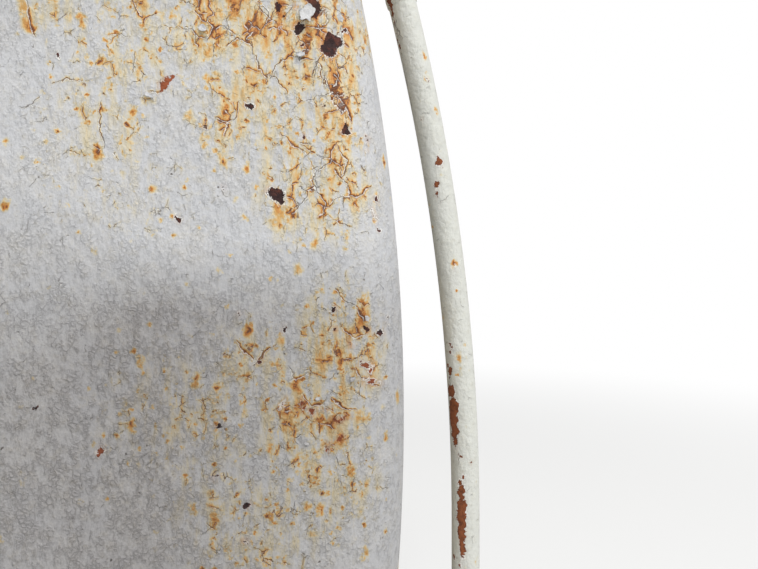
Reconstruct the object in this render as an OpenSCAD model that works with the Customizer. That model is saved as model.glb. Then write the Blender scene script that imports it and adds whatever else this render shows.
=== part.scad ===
// Horizontal low-pressure steel tank with flat flanged heads.
// It lies in two saddles on channel sleepers, and a round-bar hoop over each end holds it down.
// The tank's axis runs along Y, the front head faces -Y and Z = 0 is the ground.

/* [Tank] */
// Outside diameter of the shell and of both heads
tank_d = 1626; // [1400:1:1900]
// Length over the two flat heads
tank_len = 2743; // [2500:1:4000]
// Plate thickness of the shell
shell_t = 6; // [5:0.5:10]
// Plate thickness of the heads
head_t = 8; // [6:0.5:12]
// Outside radius of the knuckle that turns the flat head into its flange
knuckle_r = 22; // [16:1:30]
// Straight flange of the head behind the knuckle
head_flange = 20; // [15:1:26]
// Width of a weld bead
weld_w = 12; // [8:1:14]
// Height of a weld bead above the plate
weld_h = 1.5; // [1:0.5:2]
// Angle of each shell course's long seam, from the top
seam_angle = 38; // [30:1:60]

/* [Sleepers and saddles] */
// Height of a channel sleeper
channel_h = 150; // [120:5:200]
// Flange width of a channel sleeper
channel_b = 75; // [70:1:90]
// Web thickness of a channel sleeper
channel_web = 8; // [6:0.5:12]
// Flange thickness of a channel sleeper
channel_flange = 10; // [8:0.5:14]
// Radius at the root of a channel's flanges
channel_root_r = 8; // [4:0.5:9]
// Distance from a hoop's hole to the end of its sleeper
channel_end = 73; // [60:1:200]
// Height from the sleeper to the lowest point of the wear plate
saddle_rise = 60; // [40:5:150]
// Angle of the shell that a saddle holds
saddle_angle = 120; // [90:1:130]
// Thickness of the saddle's web and ribs
saddle_t = 10; // [8:1:16]
// Depth of a saddle rib over the sleeper's flange
rib_depth = 32; // [24:1:34]
// Number of ribs on a saddle
rib_count = 6; // [4:1:8]
// Thickness of the wear plate between saddle and shell
wear_t = 8; // [6:0.5:12]
// Width of the wear plate along the tank
wear_w = 104; // [80:1:110]
// Diameter of an anchor hole in the sleeper's lower flange
anchor_hole_d = 18; // [14:1:22]
// Distance between the anchor holes along a sleeper
anchor_span = 1500; // [1300:10:1600]

/* [Hold-down hoops] */
// Diameter of the round bar
hoop_d = 13; // [10:0.5:16]
// Distance from a head's face to its hoop
hoop_inset = 62; // [58:1:66]
// Distance from the tank's side to the bar's middle
hoop_stand_off = 34; // [28:0.5:45]
// How much wider the bar is bent beside the tank than its distance from the tank's axis
hoop_bow = 138; // [110:1:160]
// How far below the tank's axis the bar turns straight
hoop_drop = 58; // [40:1:70]
// Gap between the bar and the top of the tank
hoop_top_gap = 0.3; // [0.1:0.1:0.8]
// Threaded end below the sleeper's flange
hoop_thread = 45; // [35:1:60]
// Clearance of the bar in its hole in the sleeper
hoop_hole_gap = 1.5; // [1:0.25:3]
// Width of a hoop nut across its flats
hoop_nut_af = 22; // [19:1:24]
// Height of a hoop nut
hoop_nut_h = 12; // [9:1:14]
// Diameter of a hoop washer
hoop_washer_d = 30; // [26:1:34]
// Thickness of a hoop washer
hoop_washer_t = 3; // [2:0.5:4]
// Play of the bar in its nuts
hoop_nut_fit = 0.2; // [0.1:0.1:0.6]

/* [Manway] */
// Outside diameter of the manway neck
manway_d = 508; // [450:1:560]
// Wall of the manway neck
manway_t = 8; // [6:0.5:12]
// Place of the manway along the tank, from the middle
manway_y = 560; // [450:5:620]
// Height of the manway flange's face above the top of the tank
manway_h = 130; // [110:1:180]
// Width of the manway flange outside the neck
manway_flange_w = 70; // [64:1:80]
// Thickness of the manway flange
manway_flange_t = 14; // [10:1:20]
// Thickness of the manway cover
cover_t = 12; // [10:1:20]
// Thickness of the manway gasket
gasket_t = 3; // [2:0.5:5]
// Number of manway bolts
cover_bolts = 16; // [12:2:20]
// Diameter of a manway bolt
cover_bolt_d = 16; // [12:1:18]
// Width of the reinforcing pad around the neck
pad_w = 60; // [50:1:80]
// Thickness of the reinforcing pad
pad_t = 6; // [5:0.5:8]
// Span of a lifting handle on the cover
handle_span = 120; // [100:1:160]
// Height of a lifting handle
handle_h = 45; // [40:1:60]
// Bar diameter of a lifting handle
handle_d = 12; // [10:0.5:14]

/* [Nozzles and valves] */
// Outside diameter of a nozzle pipe
pipe_d = 60; // [55:0.5:66]
// Wall of a nozzle pipe
pipe_t = 5.5; // [4:0.5:7]
// Distance from a head to the face of its nozzle flange
nozzle_out = 110; // [95:1:140]
// Height of the nozzles above the lowest point of the tank
nozzle_z = 160; // [120:1:220]
// Outside diameter of a pipe flange
flange_d = 152; // [148:1:165]
// Thickness of a pipe flange
flange_t = 18; // [14:1:22]
// Diameter of the bolt circle of a pipe flange
flange_pcd = 121; // [119:1:124]
// Diameter of a flange bolt hole
flange_hole_d = 18; // [16:0.5:19]
// Diameter of a flange bolt
flange_bolt_d = 16; // [12:0.5:16]
// Diameter of the bolt holes where a valve is joined to its nozzle
joint_hole_d = 17; // [16.5:0.5:17.5]
// Face-to-face length of a ball valve
valve_len = 178; // [170:1:200]
// Diameter of the ball valve's middle, clear of the studs in its end flange
valve_ball_d = 100; // [92:1:102]
// Depth of the valve's bore in front of the closed ball
valve_bore_depth = 52; // [40:1:56]
// Length of the valve lever
lever_len = 220; // [180:5:260]
// Width of the valve lever
lever_w = 26; // [20:1:32]
// Thickness of the valve lever
lever_t = 6; // [5:0.5:8]

/* [Couplings on top] */
// Outside diameter of a pipe coupling
coupling_d = 74; // [68:1:80]
// Height of a coupling above the tank
coupling_h = 38; // [30:1:50]
// Place of the relief valve along the tank
relief_y = -780; // [-850:5:-720]
// Place of the pressure gauge along the tank
gauge_y = -500; // [-560:5:-440]
// Place of the fill cap along the tank
fill_y = -200; // [-260:5:-150]
// Height of the relief valve above its coupling
relief_h = 210; // [190:5:240]
// Diameter of the pressure gauge
gauge_d = 104; // [80:1:120]
// Depth of the pressure gauge
gauge_depth = 38; // [30:1:45]
// Height of the gauge's middle above the top of the tank
gauge_rise = 130; // [110:1:160]

/* [Sight glass] */
// Distance of the sight glass from the middle of the front head
glass_x = -260; // [-330:5:-220]
// Height between the two gauge cocks
glass_span = 900; // [700:10:1000]
// Diameter of the glass tube
glass_d = 19; // [16:0.5:20]
// Distance from the head to the glass
glass_out = 95; // [85:1:120]
// Diameter of a guard rod
guard_d = 8; // [6:0.5:10]
// Distance from the glass to each guard rod
guard_gap = 22; // [20:0.5:26]

/* [Lugs and drain] */
// Place of each lifting lug from the middle of the tank
lug_y = 1080; // [1040:5:1110]
// Width of a lifting lug
lug_w = 120; // [100:1:150]
// Height of a lifting lug's hole above the tank
lug_hole_h = 62; // [55:1:80]
// Diameter of a lifting lug's hole
lug_hole_d = 40; // [32:1:44]
// Thickness of a lifting lug
lug_t = 16; // [12:1:20]
// Metal around a lifting lug's hole
lug_rim = 24; // [18:1:30]
// Height of a lug's square foot
lug_foot = 6; // [3:1:12]
// Place of the drain along the tank
drain_y = 250; // [150:10:400]
// Outside diameter of the drain coupling
drain_d = 57; // [50:1:64]
// Height of the drain coupling below the tank
drain_h = 34; // [26:1:40]

/* [Hidden] */
$fn = 64;
eps = 0.01;
tank_r = tank_d / 2;
bore_r = tank_r - shell_t;
axis_z = channel_h + saddle_rise + wear_t + tank_r;
head_depth = knuckle_r + head_flange;
face_y = tank_len / 2;
girth_y = face_y - head_depth;
course_len = girth_y;
top_z = axis_z + tank_r;
hoop_y = face_y - hoop_inset;

// The sleeper's web stands behind the hoop, and the hoop passes through its flange.
channel_gauge = channel_b * 0.55;
web_y = hoop_y - channel_gauge + channel_web;
saddle_y = web_y + saddle_t / 2;
saddle_half_w = (tank_r + wear_t) * sin(saddle_angle / 2);
saddle_top_z = axis_z - (tank_r + wear_t) * cos(saddle_angle / 2);
weld_clear = 1;
wear_outer_y = girth_y - weld_w / 2 - weld_clear;
wear_lap_angle = 3;

// The hoop is two side arcs and a crown arc that meet on one tangent, butt-welded there.
hoop_side_x = tank_r + hoop_stand_off;
hoop_side_r = hoop_side_x + hoop_bow;
side_centre_x = -hoop_bow;
crown_z = tank_r + hoop_d / 2 + hoop_top_gap;
crown_share = (hoop_side_r - hoop_drop - crown_z) / hoop_bow;
hoop_blend = 90 - 2 * atan(crown_share);
crown_r = hoop_side_r + side_centre_x / cos(hoop_blend);
crown_drop = hoop_drop + side_centre_x * tan(hoop_blend);
hoop_turn_z = round(100 * (axis_z - hoop_drop)) / 100;
butt_weld_h = 0.8;
channel_len = 2 * (hoop_side_x + channel_end);

bead_r = (weld_w * weld_w / 4 + weld_h * weld_h) / (2 * weld_h);
seam_gap = 0.3;
coupling_sink = 20;
manway_z = top_z + manway_h;
flange_r = manway_d / 2 + manway_flange_w;
flange_face_gap = 3;
neck_inside = 12;
pipe_inside = 12;
cover_pcd_r = manway_d / 2 + manway_flange_w / 2;
cover_top = manway_z + gasket_t + cover_t;
nozzle_axis_z = axis_z - tank_r + nozzle_z;
glass_mid_z = axis_z;
bolt_gap = 1;
gasket_edge = 3;
bolt_tail = 5;
nut_share = 1.5;
nut_h_share = 0.8;
lug_sink = 10;
gauge_coupling_d = 42;
gauge_coupling_h = coupling_h * 0.8;
stem_d = 15;
gauge_bore_d = stem_d + 8;
cock_pipe_d = 22;
cock_inside = 6;
glass_seat = 18;
rod_seat = 20;
seat_fit = 0.2;
valve_pad = 44;
valve_pad_rise = 14;
body_bolt_d = 10;
body_joint_t = 10;
body_joint_gap = 1;
body_joint_d = valve_ball_d + 2.4 * body_bolt_d;
body_joint_z = valve_len / 2 + valve_pad / 2 + body_bolt_d * nut_h_share + bolt_gap;
valve_stem_d = 20;
stem_rise = 16;
hub_fit = 0.2;
drain_bore_d = 42;
paint = [0.80, 0.80, 0.78];
bare = [0.45, 0.42, 0.40];

// Lays a shape that stands on Z = 0 along +Y, on the tank's axis.
module along(y) {
    translate([0, y, axis_z]) rotate([-90, 0, 0]) children();
}

// Turns a front piece round to the rear end of the tank.
module rear() {
    rotate([0, 0, 180]) children();
}

// Extrudes an outline drawn in X and Z along Y, from y to y + depth.
module upright(y, depth) {
    translate([0, y + depth, 0]) rotate([90, 0, 0]) linear_extrude(depth) children();
}

// A tube that stands on Z = 0.
module tube(r, wall, h) {
    difference() {
        cylinder(r = r, h = h);
        translate([0, 0, -1]) cylinder(r = r - wall, h = h + 2);
    }
}

// A bolt through a joint from z = 0 up to grip: nut below, head above.
module bolt(d, grip) {
    head_h = d * nut_h_share;
    translate([0, 0, grip]) cylinder(d = d * nut_share / cos(30), h = head_h, $fn = 6);
    translate([0, 0, -head_h]) cylinder(d = d * nut_share / cos(30), h = head_h, $fn = 6);
    translate([0, 0, -head_h - bolt_tail]) cylinder(d = d, h = grip + head_h + bolt_tail + eps);
}

// Half of the profile of a flanged head: disc, knuckle and straight flange.
module head_profile() {
    translate([0, 0]) square([tank_r - knuckle_r, head_t]);
    translate([tank_r - knuckle_r, knuckle_r]) intersection() {
        difference() {
            circle(r = knuckle_r);
            circle(r = knuckle_r - head_t);
        }
        translate([0, -knuckle_r]) square([knuckle_r, knuckle_r]);
    }
    translate([tank_r - head_t, knuckle_r]) square([head_t, head_flange]);
}

module head_with_nozzle() {
    difference() {
        along(-face_y) rotate_extrude($fn = 180) head_profile();
        translate([0, -face_y - 1, nozzle_axis_z]) rotate([-90, 0, 0])
            cylinder(d = pipe_d, h = head_t + 2);
        children();
    }
}

module front_head() {
    color(paint) head_with_nozzle() {
        for (end = [-1, 1])
            translate([glass_x, -face_y - 1, glass_mid_z + end * glass_span / 2])
                rotate([-90, 0, 0]) cylinder(d = cock_pipe_d, h = head_t + 2);
    }
}

module rear_head() {
    color(paint) rear() head_with_nozzle();
}

module shell_course() {
    along(0) rotate_extrude($fn = 180) translate([bore_r, 0]) square([shell_t, course_len]);
}

module top_hole(y, d) {
    translate([0, y, axis_z]) cylinder(d = d, h = tank_r + 50);
}

module front_shell_course() {
    color(paint) difference() {
        translate([0, -course_len, 0]) shell_course();
        top_hole(relief_y, coupling_d);
        top_hole(gauge_y, gauge_coupling_d);
        top_hole(fill_y, coupling_d);
    }
}

module rear_shell_course() {
    color(paint) difference() {
        shell_course();
        top_hole(manway_y, manway_d);
        translate([0, drain_y, 0]) cylinder(d = drain_d, h = axis_z);
    }
}

// Section of a weld bead that lies on the plate: a low arc, its flat side at x = 0.
module bead() {
    intersection() {
        translate([weld_h - bead_r, 0]) circle(r = bead_r);
        translate([0, -weld_w]) square([weld_h * 2, weld_w * 2]);
    }
}

// The ring beads between the heads and the courses, and between the two courses.
module girth_welds() {
    color(paint) for (y = [-girth_y, 0, girth_y])
        along(y) rotate_extrude($fn = 180) translate([tank_r, 0]) bead();
}

// The bead along each course, staggered to either side of the top.
module seam_welds() {
    length = course_len - weld_w - 2 * seam_gap;
    color(paint) for (end = [-1, 1])
        translate([0, end * course_len / 2 - length / 2, axis_z]) rotate([-90, 0, 0])
            rotate([0, 0, -90 + end * seam_angle]) linear_extrude(length)
                translate([tank_r, 0]) bead();
}

// Section of a rolled channel: its back on x = 0, its flanges towards -x, with rounded roots.
module channel_section() {
    translate([-channel_web, 0]) square([channel_web, channel_h]);
    for (end = [0, 1]) translate([0, end * channel_h]) mirror([0, end]) {
        translate([-channel_b, 0]) square([channel_b, channel_flange]);
        translate([-channel_web - channel_root_r, channel_flange]) difference() {
            square(channel_root_r);
            translate([0, channel_root_r]) circle(r = channel_root_r);
        }
    }
}

// A channel sleeper with its web towards the middle of the tank.
module channel() {
    color(paint) difference() {
        translate([-channel_len / 2, -web_y, 0]) rotate([90, 0, 90])
            linear_extrude(channel_len) channel_section();
        for (side = [-1, 1]) {
            translate([side * hoop_side_x, -hoop_y, channel_h / 2])
                cylinder(d = hoop_d + 2 * hoop_hole_gap, h = channel_h);
            translate([side * anchor_span / 2, -hoop_y, -1])
                cylinder(d = anchor_hole_d, h = channel_flange + 2);
        }
    }
}

module front_channel() {
    channel();
}

module rear_channel() {
    rear() channel();
}

// Outline of what stands between the sleeper and the wear plate.
module saddle_outline(half_w) {
    difference() {
        translate([-half_w, channel_h]) square([2 * half_w, axis_z - channel_h]);
        translate([0, axis_z]) circle(r = tank_r + wear_t, $fn = 180);
    }
}

module saddle() {
    pitch = 2 * (saddle_half_w - saddle_t / 2) / (rib_count - 1);
    color(paint) intersection() {
        union() {
            upright(-saddle_y - saddle_t / 2, saddle_t) saddle_outline(saddle_half_w);
            upright(-saddle_y - saddle_t / 2 - rib_depth, rib_depth) intersection() {
                saddle_outline(saddle_half_w);
                for (i = [0 : rib_count - 1])
                    translate([-saddle_half_w + saddle_t / 2 + i * pitch - saddle_t / 2, channel_h])
                        square([saddle_t, axis_z]);
            }
        }
        translate([-tank_d, -tank_len, 0]) cube([2 * tank_d, tank_len, saddle_top_z]);
    }
}

module front_saddle() {
    saddle();
}

module rear_saddle() {
    rear() saddle();
}

// A curved plate between the saddle and the shell.
module wear_plate() {
    reach = saddle_angle / 2 + wear_lap_angle;
    color(paint) along(-wear_outer_y)
        rotate([0, 0, 90 - reach]) rotate_extrude(angle = 2 * reach, $fn = 180)
            translate([tank_r, 0]) square([wear_t, wear_w]);
}

module front_wear_plate() {
    wear_plate();
}

module rear_wear_plate() {
    rear() wear_plate();
}

module bar_arc(radius, from, sweep) {
    rotate([90, 0, 0]) rotate([0, 0, from]) rotate_extrude(angle = sweep, $fn = 240)
        translate([radius, 0]) circle(d = hoop_d, $fn = 32);
}

// One round bar: a crown arc over the tank, two side arcs and two straight legs.
module hoop() {
    leg_bottom = channel_h - channel_flange - hoop_thread;
    color(paint) translate([0, -hoop_y, 0]) union() {
        translate([0, 0, axis_z - crown_drop])
            bar_arc(crown_r, hoop_blend, 180 - 2 * hoop_blend);
        for (side = [0, 1]) mirror([side, 0, 0]) {
            translate([side_centre_x, 0, hoop_turn_z]) bar_arc(hoop_side_r, 0, hoop_blend);
            translate([hoop_side_x, 0, leg_bottom])
                cylinder(d = hoop_d, h = hoop_turn_z - leg_bottom, $fn = 32);
            translate([crown_r * cos(hoop_blend), 0,
                       axis_z - crown_drop + crown_r * sin(hoop_blend)])
                sphere(d = hoop_d + 2 * butt_weld_h, $fn = 32);
        }
    }
}

module front_hoop() {
    hoop();
}

module rear_hoop() {
    rear() hoop();
}

// A washer, a nut and a lock nut under the sleeper's flange at each end of a hoop.
module hoop_nuts() {
    washer_z = channel_h - channel_flange - hoop_washer_t;
    stack_z = washer_z - 2 * hoop_nut_h;
    color(bare) for (side = [-1, 1])
        translate([side * hoop_side_x, -hoop_y, 0]) difference() {
            union() {
                translate([0, 0, washer_z]) cylinder(d = hoop_washer_d, h = hoop_washer_t);
                for (i = [0, 1])
                    translate([0, 0, stack_z + i * hoop_nut_h]) rotate([0, 0, i * 20])
                        cylinder(d = hoop_nut_af / cos(30), h = hoop_nut_h + eps, $fn = 6);
            }
            translate([0, 0, stack_z - 1])
                cylinder(d = hoop_d + hoop_nut_fit, h = 2 * hoop_nut_h + hoop_washer_t + 2);
        }
}

module front_hoop_nuts() {
    hoop_nuts();
}

module rear_hoop_nuts() {
    rear() hoop_nuts();
}

// The saddle-shaped reinforcing plate around the manway neck.
module manway_pad() {
    color(paint) difference() {
        intersection() {
            along(manway_y - tank_r) cylinder(r = tank_r + pad_t, h = tank_d, $fn = 180);
            translate([0, manway_y, axis_z]) cylinder(r = manway_d / 2 + pad_w, h = tank_r + 50);
        }
        along(manway_y - tank_r - 1) cylinder(r = tank_r, h = tank_d + 2, $fn = 180);
        top_hole(manway_y, manway_d);
    }
}

// The neck: a pipe set through the shell, up to just below the face of its flange.
module manway_neck() {
    neck_low = sqrt(bore_r * bore_r - manway_d * manway_d / 4) - neck_inside;
    color(paint) translate([0, manway_y, axis_z + neck_low])
        tube(manway_d / 2, manway_t, manway_z - flange_face_gap - axis_z - neck_low);
}

// The slip-on flange around the top of the neck.
module manway_flange() {
    color(paint) difference() {
        translate([0, manway_y, manway_z - manway_flange_t])
            tube(flange_r, manway_flange_w, manway_flange_t);
        cover_holes(manway_z - manway_flange_t - 1, manway_flange_t + 2);
    }
}

module around_cover() {
    for (i = [0 : cover_bolts - 1])
        translate([0, manway_y, 0]) rotate([0, 0, (i + 0.5) * 360 / cover_bolts])
            translate([cover_pcd_r, 0, 0]) children();
}

module cover_holes(z, h) {
    around_cover() translate([0, 0, z]) cylinder(d = cover_bolt_d + 2 * bolt_gap, h = h, $fn = 24);
}

// A ring gasket that lies inside the bolts.
module manway_gasket() {
    gasket_r = cover_pcd_r - cover_bolt_d / 2 - bolt_gap - gasket_edge;
    color([0.12, 0.12, 0.12]) translate([0, manway_y, manway_z])
        tube(gasket_r, gasket_r - manway_d / 2 + manway_t, gasket_t);
}

module manway_cover() {
    color(paint) difference() {
        translate([0, manway_y, manway_z + gasket_t]) cylinder(r = flange_r, h = cover_t);
        cover_holes(manway_z, cover_t + gasket_t + 10);
    }
}

module manway_bolts() {
    grip = manway_flange_t + gasket_t + cover_t;
    color(bare) around_cover() translate([0, 0, manway_z - manway_flange_t])
        bolt(cover_bolt_d, grip);
}

// Two bent round-bar handles on the manway cover.
module manway_handles() {
    bend_r = 18;
    leg = handle_h - bend_r;
    color(paint) for (side = [-1, 1])
        translate([side * manway_d * 0.28, manway_y, cover_top]) union() {
            for (end = [0, 1]) mirror([0, end, 0]) {
                translate([0, handle_span / 2, 0]) cylinder(d = handle_d, h = leg, $fn = 24);
                translate([0, handle_span / 2 - bend_r, leg]) rotate([90, 0, 90])
                    rotate_extrude(angle = 90, $fn = 48)
                        translate([bend_r, 0]) circle(d = handle_d, $fn = 24);
            }
            translate([0, -handle_span / 2 + bend_r, handle_h]) rotate([-90, 0, 0])
                cylinder(d = handle_d, h = handle_span - 2 * bend_r, $fn = 24);
        }
}

// A pipe coupling set into the top of the shell, with its bore down to the tank.
module top_coupling(y, d, h, bore_d) {
    color(paint) translate([0, y, top_z - coupling_sink]) difference() {
        cylinder(d = d, h = coupling_sink + h);
        translate([0, 0, -1]) cylinder(d = bore_d, h = coupling_sink + h + 2);
    }
}

module fill_coupling() {
    top_coupling(fill_y, coupling_d, coupling_h, pipe_d);
}

// A round screwed cap with two ears that a bar or a wrench turns.
module fill_cap() {
    cap_h = 34;
    cap_d = coupling_d + 12;
    chamfer = 8;
    spigot = 14;
    ear = [22, 16, 14];
    ear_z = 4;
    color([0.62, 0.62, 0.60]) translate([0, fill_y, top_z + coupling_h]) union() {
        translate([0, 0, -spigot]) cylinder(d = pipe_d, h = spigot + eps);
        cylinder(d = cap_d, h = cap_h - chamfer);
        translate([0, 0, cap_h - chamfer])
            cylinder(d1 = cap_d, d2 = cap_d - 2 * chamfer, h = chamfer);
        for (turn = [0, 180]) rotate([0, 0, turn])
            translate([coupling_d / 2 + 2, -ear[1] / 2, ear_z]) cube(ear);
    }
}

module relief_coupling() {
    top_coupling(relief_y, coupling_d, coupling_h, pipe_d);
}

// A spring-loaded relief valve: inlet hexagon, round body, bonnet, cap, side outlet and lever.
module relief_valve() {
    body_h = relief_h * 0.33;
    bonnet_h = relief_h * 0.45;
    bonnet_top = body_h + bonnet_h;
    hexagon_h = 16;
    throat_r = 30;
    belly_r = 42;
    bonnet_r = 26;
    spring_r = 20;
    cap_r = 16;
    cap_top = relief_h - 16;
    spigot = 15;
    outlet_z = body_h * 0.62;
    outlet_r = 26;
    outlet_bore_r = 19;
    outlet_face = 70;
    collar_r = 32;
    collar_w = 16;
    bore_depth = 30;
    test_lever = [78, 10, 5];
    color([0.55, 0.50, 0.38]) translate([0, relief_y, top_z + coupling_h]) difference() {
        union() {
            translate([0, 0, -spigot]) cylinder(d = pipe_d, h = spigot + eps);
            cylinder(r = belly_r - 2, h = hexagon_h, $fn = 6);
            translate([0, 0, hexagon_h - eps]) rotate_extrude() polygon([
                [0, 0], [throat_r, 0], [belly_r - 4, 12], [belly_r, 26], [belly_r, body_h - 22],
                [belly_r - 6, body_h - 16], [belly_r - 6, body_h - 6], [bonnet_r, body_h],
                [spring_r + 4, bonnet_top - 12], [spring_r, bonnet_top], [cap_r, bonnet_top],
                [cap_r, cap_top - 10], [cap_r - 5, cap_top], [0, cap_top]
            ]);
            translate([0, 0, outlet_z]) rotate([0, 90, 0]) cylinder(r = outlet_r, h = outlet_face);
            translate([outlet_face - collar_w, 0, outlet_z]) rotate([0, 90, 0])
                cylinder(r = collar_r, h = collar_w, $fn = 8);
            translate([cap_r - test_lever[0], -test_lever[1] / 2,
                       bonnet_top + (relief_h - bonnet_top) * 0.35]) cube(test_lever);
        }
        translate([outlet_face - bore_depth, 0, outlet_z]) rotate([0, 90, 0])
            cylinder(r = outlet_bore_r, h = bore_depth + 1);
    }
}

module gauge_coupling() {
    top_coupling(gauge_y, gauge_coupling_d, gauge_coupling_h, gauge_bore_d);
}

// The gauge's stem: a bush, a straight pipe and a cock with its small handle.
module gauge_stem() {
    stem_h = gauge_rise - gauge_d / 2 - gauge_coupling_h;
    bush = [34, 10];
    spigot = 12;
    cock = [26, 14];
    cock_z = stem_h * 0.35;
    spindle = [10, 28];
    handle = [5, 28, 8];
    color([0.60, 0.52, 0.34]) translate([0, gauge_y, top_z + gauge_coupling_h]) union() {
        translate([0, 0, -spigot]) cylinder(d = gauge_bore_d, h = spigot + eps);
        cylinder(d = bush[0], h = bush[1], $fn = 6);
        cylinder(d = stem_d, h = stem_h - 2);
        translate([0, 0, cock_z]) cylinder(d = cock[0], h = cock[1], $fn = 6);
        translate([0, 0, cock_z + cock[1] / 2]) rotate([0, 90, 0])
            cylinder(d = spindle[0], h = spindle[1]);
        translate([spindle[1] - 4, -handle[1] / 2, cock_z + (cock[1] - handle[2]) / 2]) cube(handle);
    }
}

// A round dial gauge that faces the front of the tank.
module pressure_gauge() {
    socket_h = 16;
    socket_d = stem_d + 9;
    socket_sink = 4;
    bezel_w = 7;
    bezel_h = 10;
    bezel_step = 3;
    dial_sink = 4;
    color([0.20, 0.20, 0.20]) translate([0, gauge_y, top_z + gauge_rise]) difference() {
        union() {
            translate([0, gauge_depth / 2, 0]) rotate([90, 0, 0])
                cylinder(d = gauge_d - 2 * bezel_step, h = gauge_depth);
            translate([0, bezel_h - gauge_depth / 2, 0]) rotate([90, 0, 0])
                cylinder(d = gauge_d, h = bezel_h);
            translate([0, 0, socket_sink - gauge_d / 2 - socket_h])
                cylinder(d = socket_d, h = socket_h);
        }
        translate([0, dial_sink - gauge_depth / 2, 0]) rotate([90, 0, 0])
            cylinder(d = gauge_d - 2 * bezel_w, h = bezel_h);
        translate([0, 0, -gauge_d]) cylinder(d = stem_d, h = gauge_d / 2 - 2);
    }
}

module flange_holes(h, hole_d) {
    for (i = [0 : 3]) rotate([0, 0, 45 + i * 90])
        translate([flange_pcd / 2, 0, -1]) cylinder(d = hole_d, h = h + 2, $fn = 24);
}

// Places a shape that stands on Z = 0 on the nozzle's axis, pointing out of the head.
module at_nozzle(out) {
    translate([0, -face_y - out, nozzle_axis_z]) rotate([90, 0, 0]) children();
}

// A nozzle: a pipe set through the head, with a flange on its outer end.
module nozzle() {
    inside = head_t + pipe_inside;
    hub_h = 14;
    hub_w = 10;
    color(paint) at_nozzle(0) difference() {
        union() {
            translate([0, 0, -inside]) cylinder(d = pipe_d, h = nozzle_out + inside);
            translate([0, 0, nozzle_out - flange_t]) cylinder(d = flange_d, h = flange_t);
            translate([0, 0, nozzle_out - flange_t - hub_h])
                cylinder(d1 = pipe_d, d2 = pipe_d + 2 * hub_w, h = hub_h + eps);
        }
        translate([0, 0, -inside - 1]) cylinder(d = pipe_d - 2 * pipe_t, h = nozzle_out + inside + 2);
        translate([0, 0, nozzle_out - flange_t]) flange_holes(flange_t, joint_hole_d);
    }
}

// The joint of a valve's two body pieces: two rings and four bolts, their heads towards the ball.
module body_joint() {
    cylinder(d = body_joint_d, h = body_joint_t);
    translate([0, 0, body_joint_t + body_joint_gap]) cylinder(d = body_joint_d, h = body_joint_t);
    for (i = [0 : 3]) rotate([0, 0, i * 90])
        translate([body_joint_d / 2 - body_bolt_d, 0, 2 * body_joint_t + body_joint_gap])
            rotate([180, 0, 0]) bolt(body_bolt_d, 2 * body_joint_t + body_joint_gap);
}

// A flanged ball valve, closed: two flanges, a round body in two pieces and a square stem pad.
module valve() {
    neck_d = flange_pcd - flange_hole_d - 14;
    swell = 12;
    stem_top = stem_rise + lever_t + 12;
    color([0.42, 0.44, 0.46]) at_nozzle(nozzle_out) difference() {
        union() {
            cylinder(d = flange_d, h = flange_t);
            translate([0, 0, valve_len - flange_t]) cylinder(d = flange_d, h = flange_t);
            translate([0, 0, flange_t - eps])
                cylinder(d = neck_d, h = valve_len - 2 * flange_t + 2 * eps);
            translate([0, 0, valve_len / 2]) intersection() {
                sphere(d = valve_ball_d + swell, $fn = 48);
                translate([0, 0, -valve_len / 4]) cylinder(d = valve_ball_d, h = valve_len / 2);
            }
            translate([-valve_pad / 2, 0, valve_len / 2 - valve_pad / 2])
                cube([valve_pad, valve_ball_d / 2 + valve_pad_rise, valve_pad]);
            translate([0, valve_ball_d / 2 + valve_pad_rise - eps, valve_len / 2])
                rotate([-90, 0, 0]) cylinder(d = valve_stem_d, h = stem_top);
            translate([0, 0, body_joint_z]) body_joint();
        }
        flange_holes(flange_t, joint_hole_d);
        translate([0, 0, valve_len - flange_t]) flange_holes(flange_t, flange_hole_d);
        translate([0, 0, valve_len - valve_bore_depth])
            cylinder(d = pipe_d - 2 * pipe_t, h = valve_bore_depth + 1);
    }
}

// The valve's lever: a flat bar on the stem, cranked up towards its hand end.
module lever() {
    heel = 18;
    crank = 34;
    lift = 30;
    bend = lever_t * 0.4;
    hub_z = nozzle_axis_z + valve_ball_d / 2 + valve_pad_rise + stem_rise;
    color([0.55, 0.14, 0.10]) translate([0, -face_y - nozzle_out - valve_len / 2, hub_z])
        difference() {
            upright_side(lever_w) polygon([
                [-heel, 0], [crank, 0], [crank + lift, lift], [lever_len, lift],
                [lever_len, lift + lever_t], [crank + lift - bend, lift + lever_t],
                [crank - bend, lever_t], [-heel, lever_t]
            ]);
            translate([0, 0, -1]) cylinder(d = valve_stem_d + hub_fit, h = lever_t + 2);
        }
}

// Extrudes an outline drawn in X and Z across Y, centred.
module upright_side(width) {
    translate([0, width / 2, 0]) rotate([90, 0, 0]) linear_extrude(width) children();
}

// The four bolts that join a nozzle's flange to its valve.
module joint_bolts() {
    color(bare) at_nozzle(nozzle_out - flange_t) for (i = [0 : 3])
        rotate([0, 0, 45 + i * 90]) translate([flange_pcd / 2, 0, 0])
            bolt(flange_bolt_d, 2 * flange_t);
}

module outlet_nozzle() {
    nozzle();
}

module outlet_valve() {
    valve();
}

module outlet_lever() {
    lever();
}

module outlet_bolts() {
    joint_bolts();
}

module inlet_nozzle() {
    rear() nozzle();
}

module inlet_valve() {
    rear() valve();
}

module inlet_lever() {
    rear() lever();
}

module inlet_bolts() {
    rear() joint_bolts();
}

// Carries a shape to both gauge cocks; it stands on Z = 0 and points out of the head.
module at_cocks() {
    for (end = [-1, 1])
        translate([glass_x, -face_y, glass_mid_z + end * glass_span / 2])
            mirror([0, 0, end > 0 ? 1 : 0]) rotate([90, 0, 0]) children();
}

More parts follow.
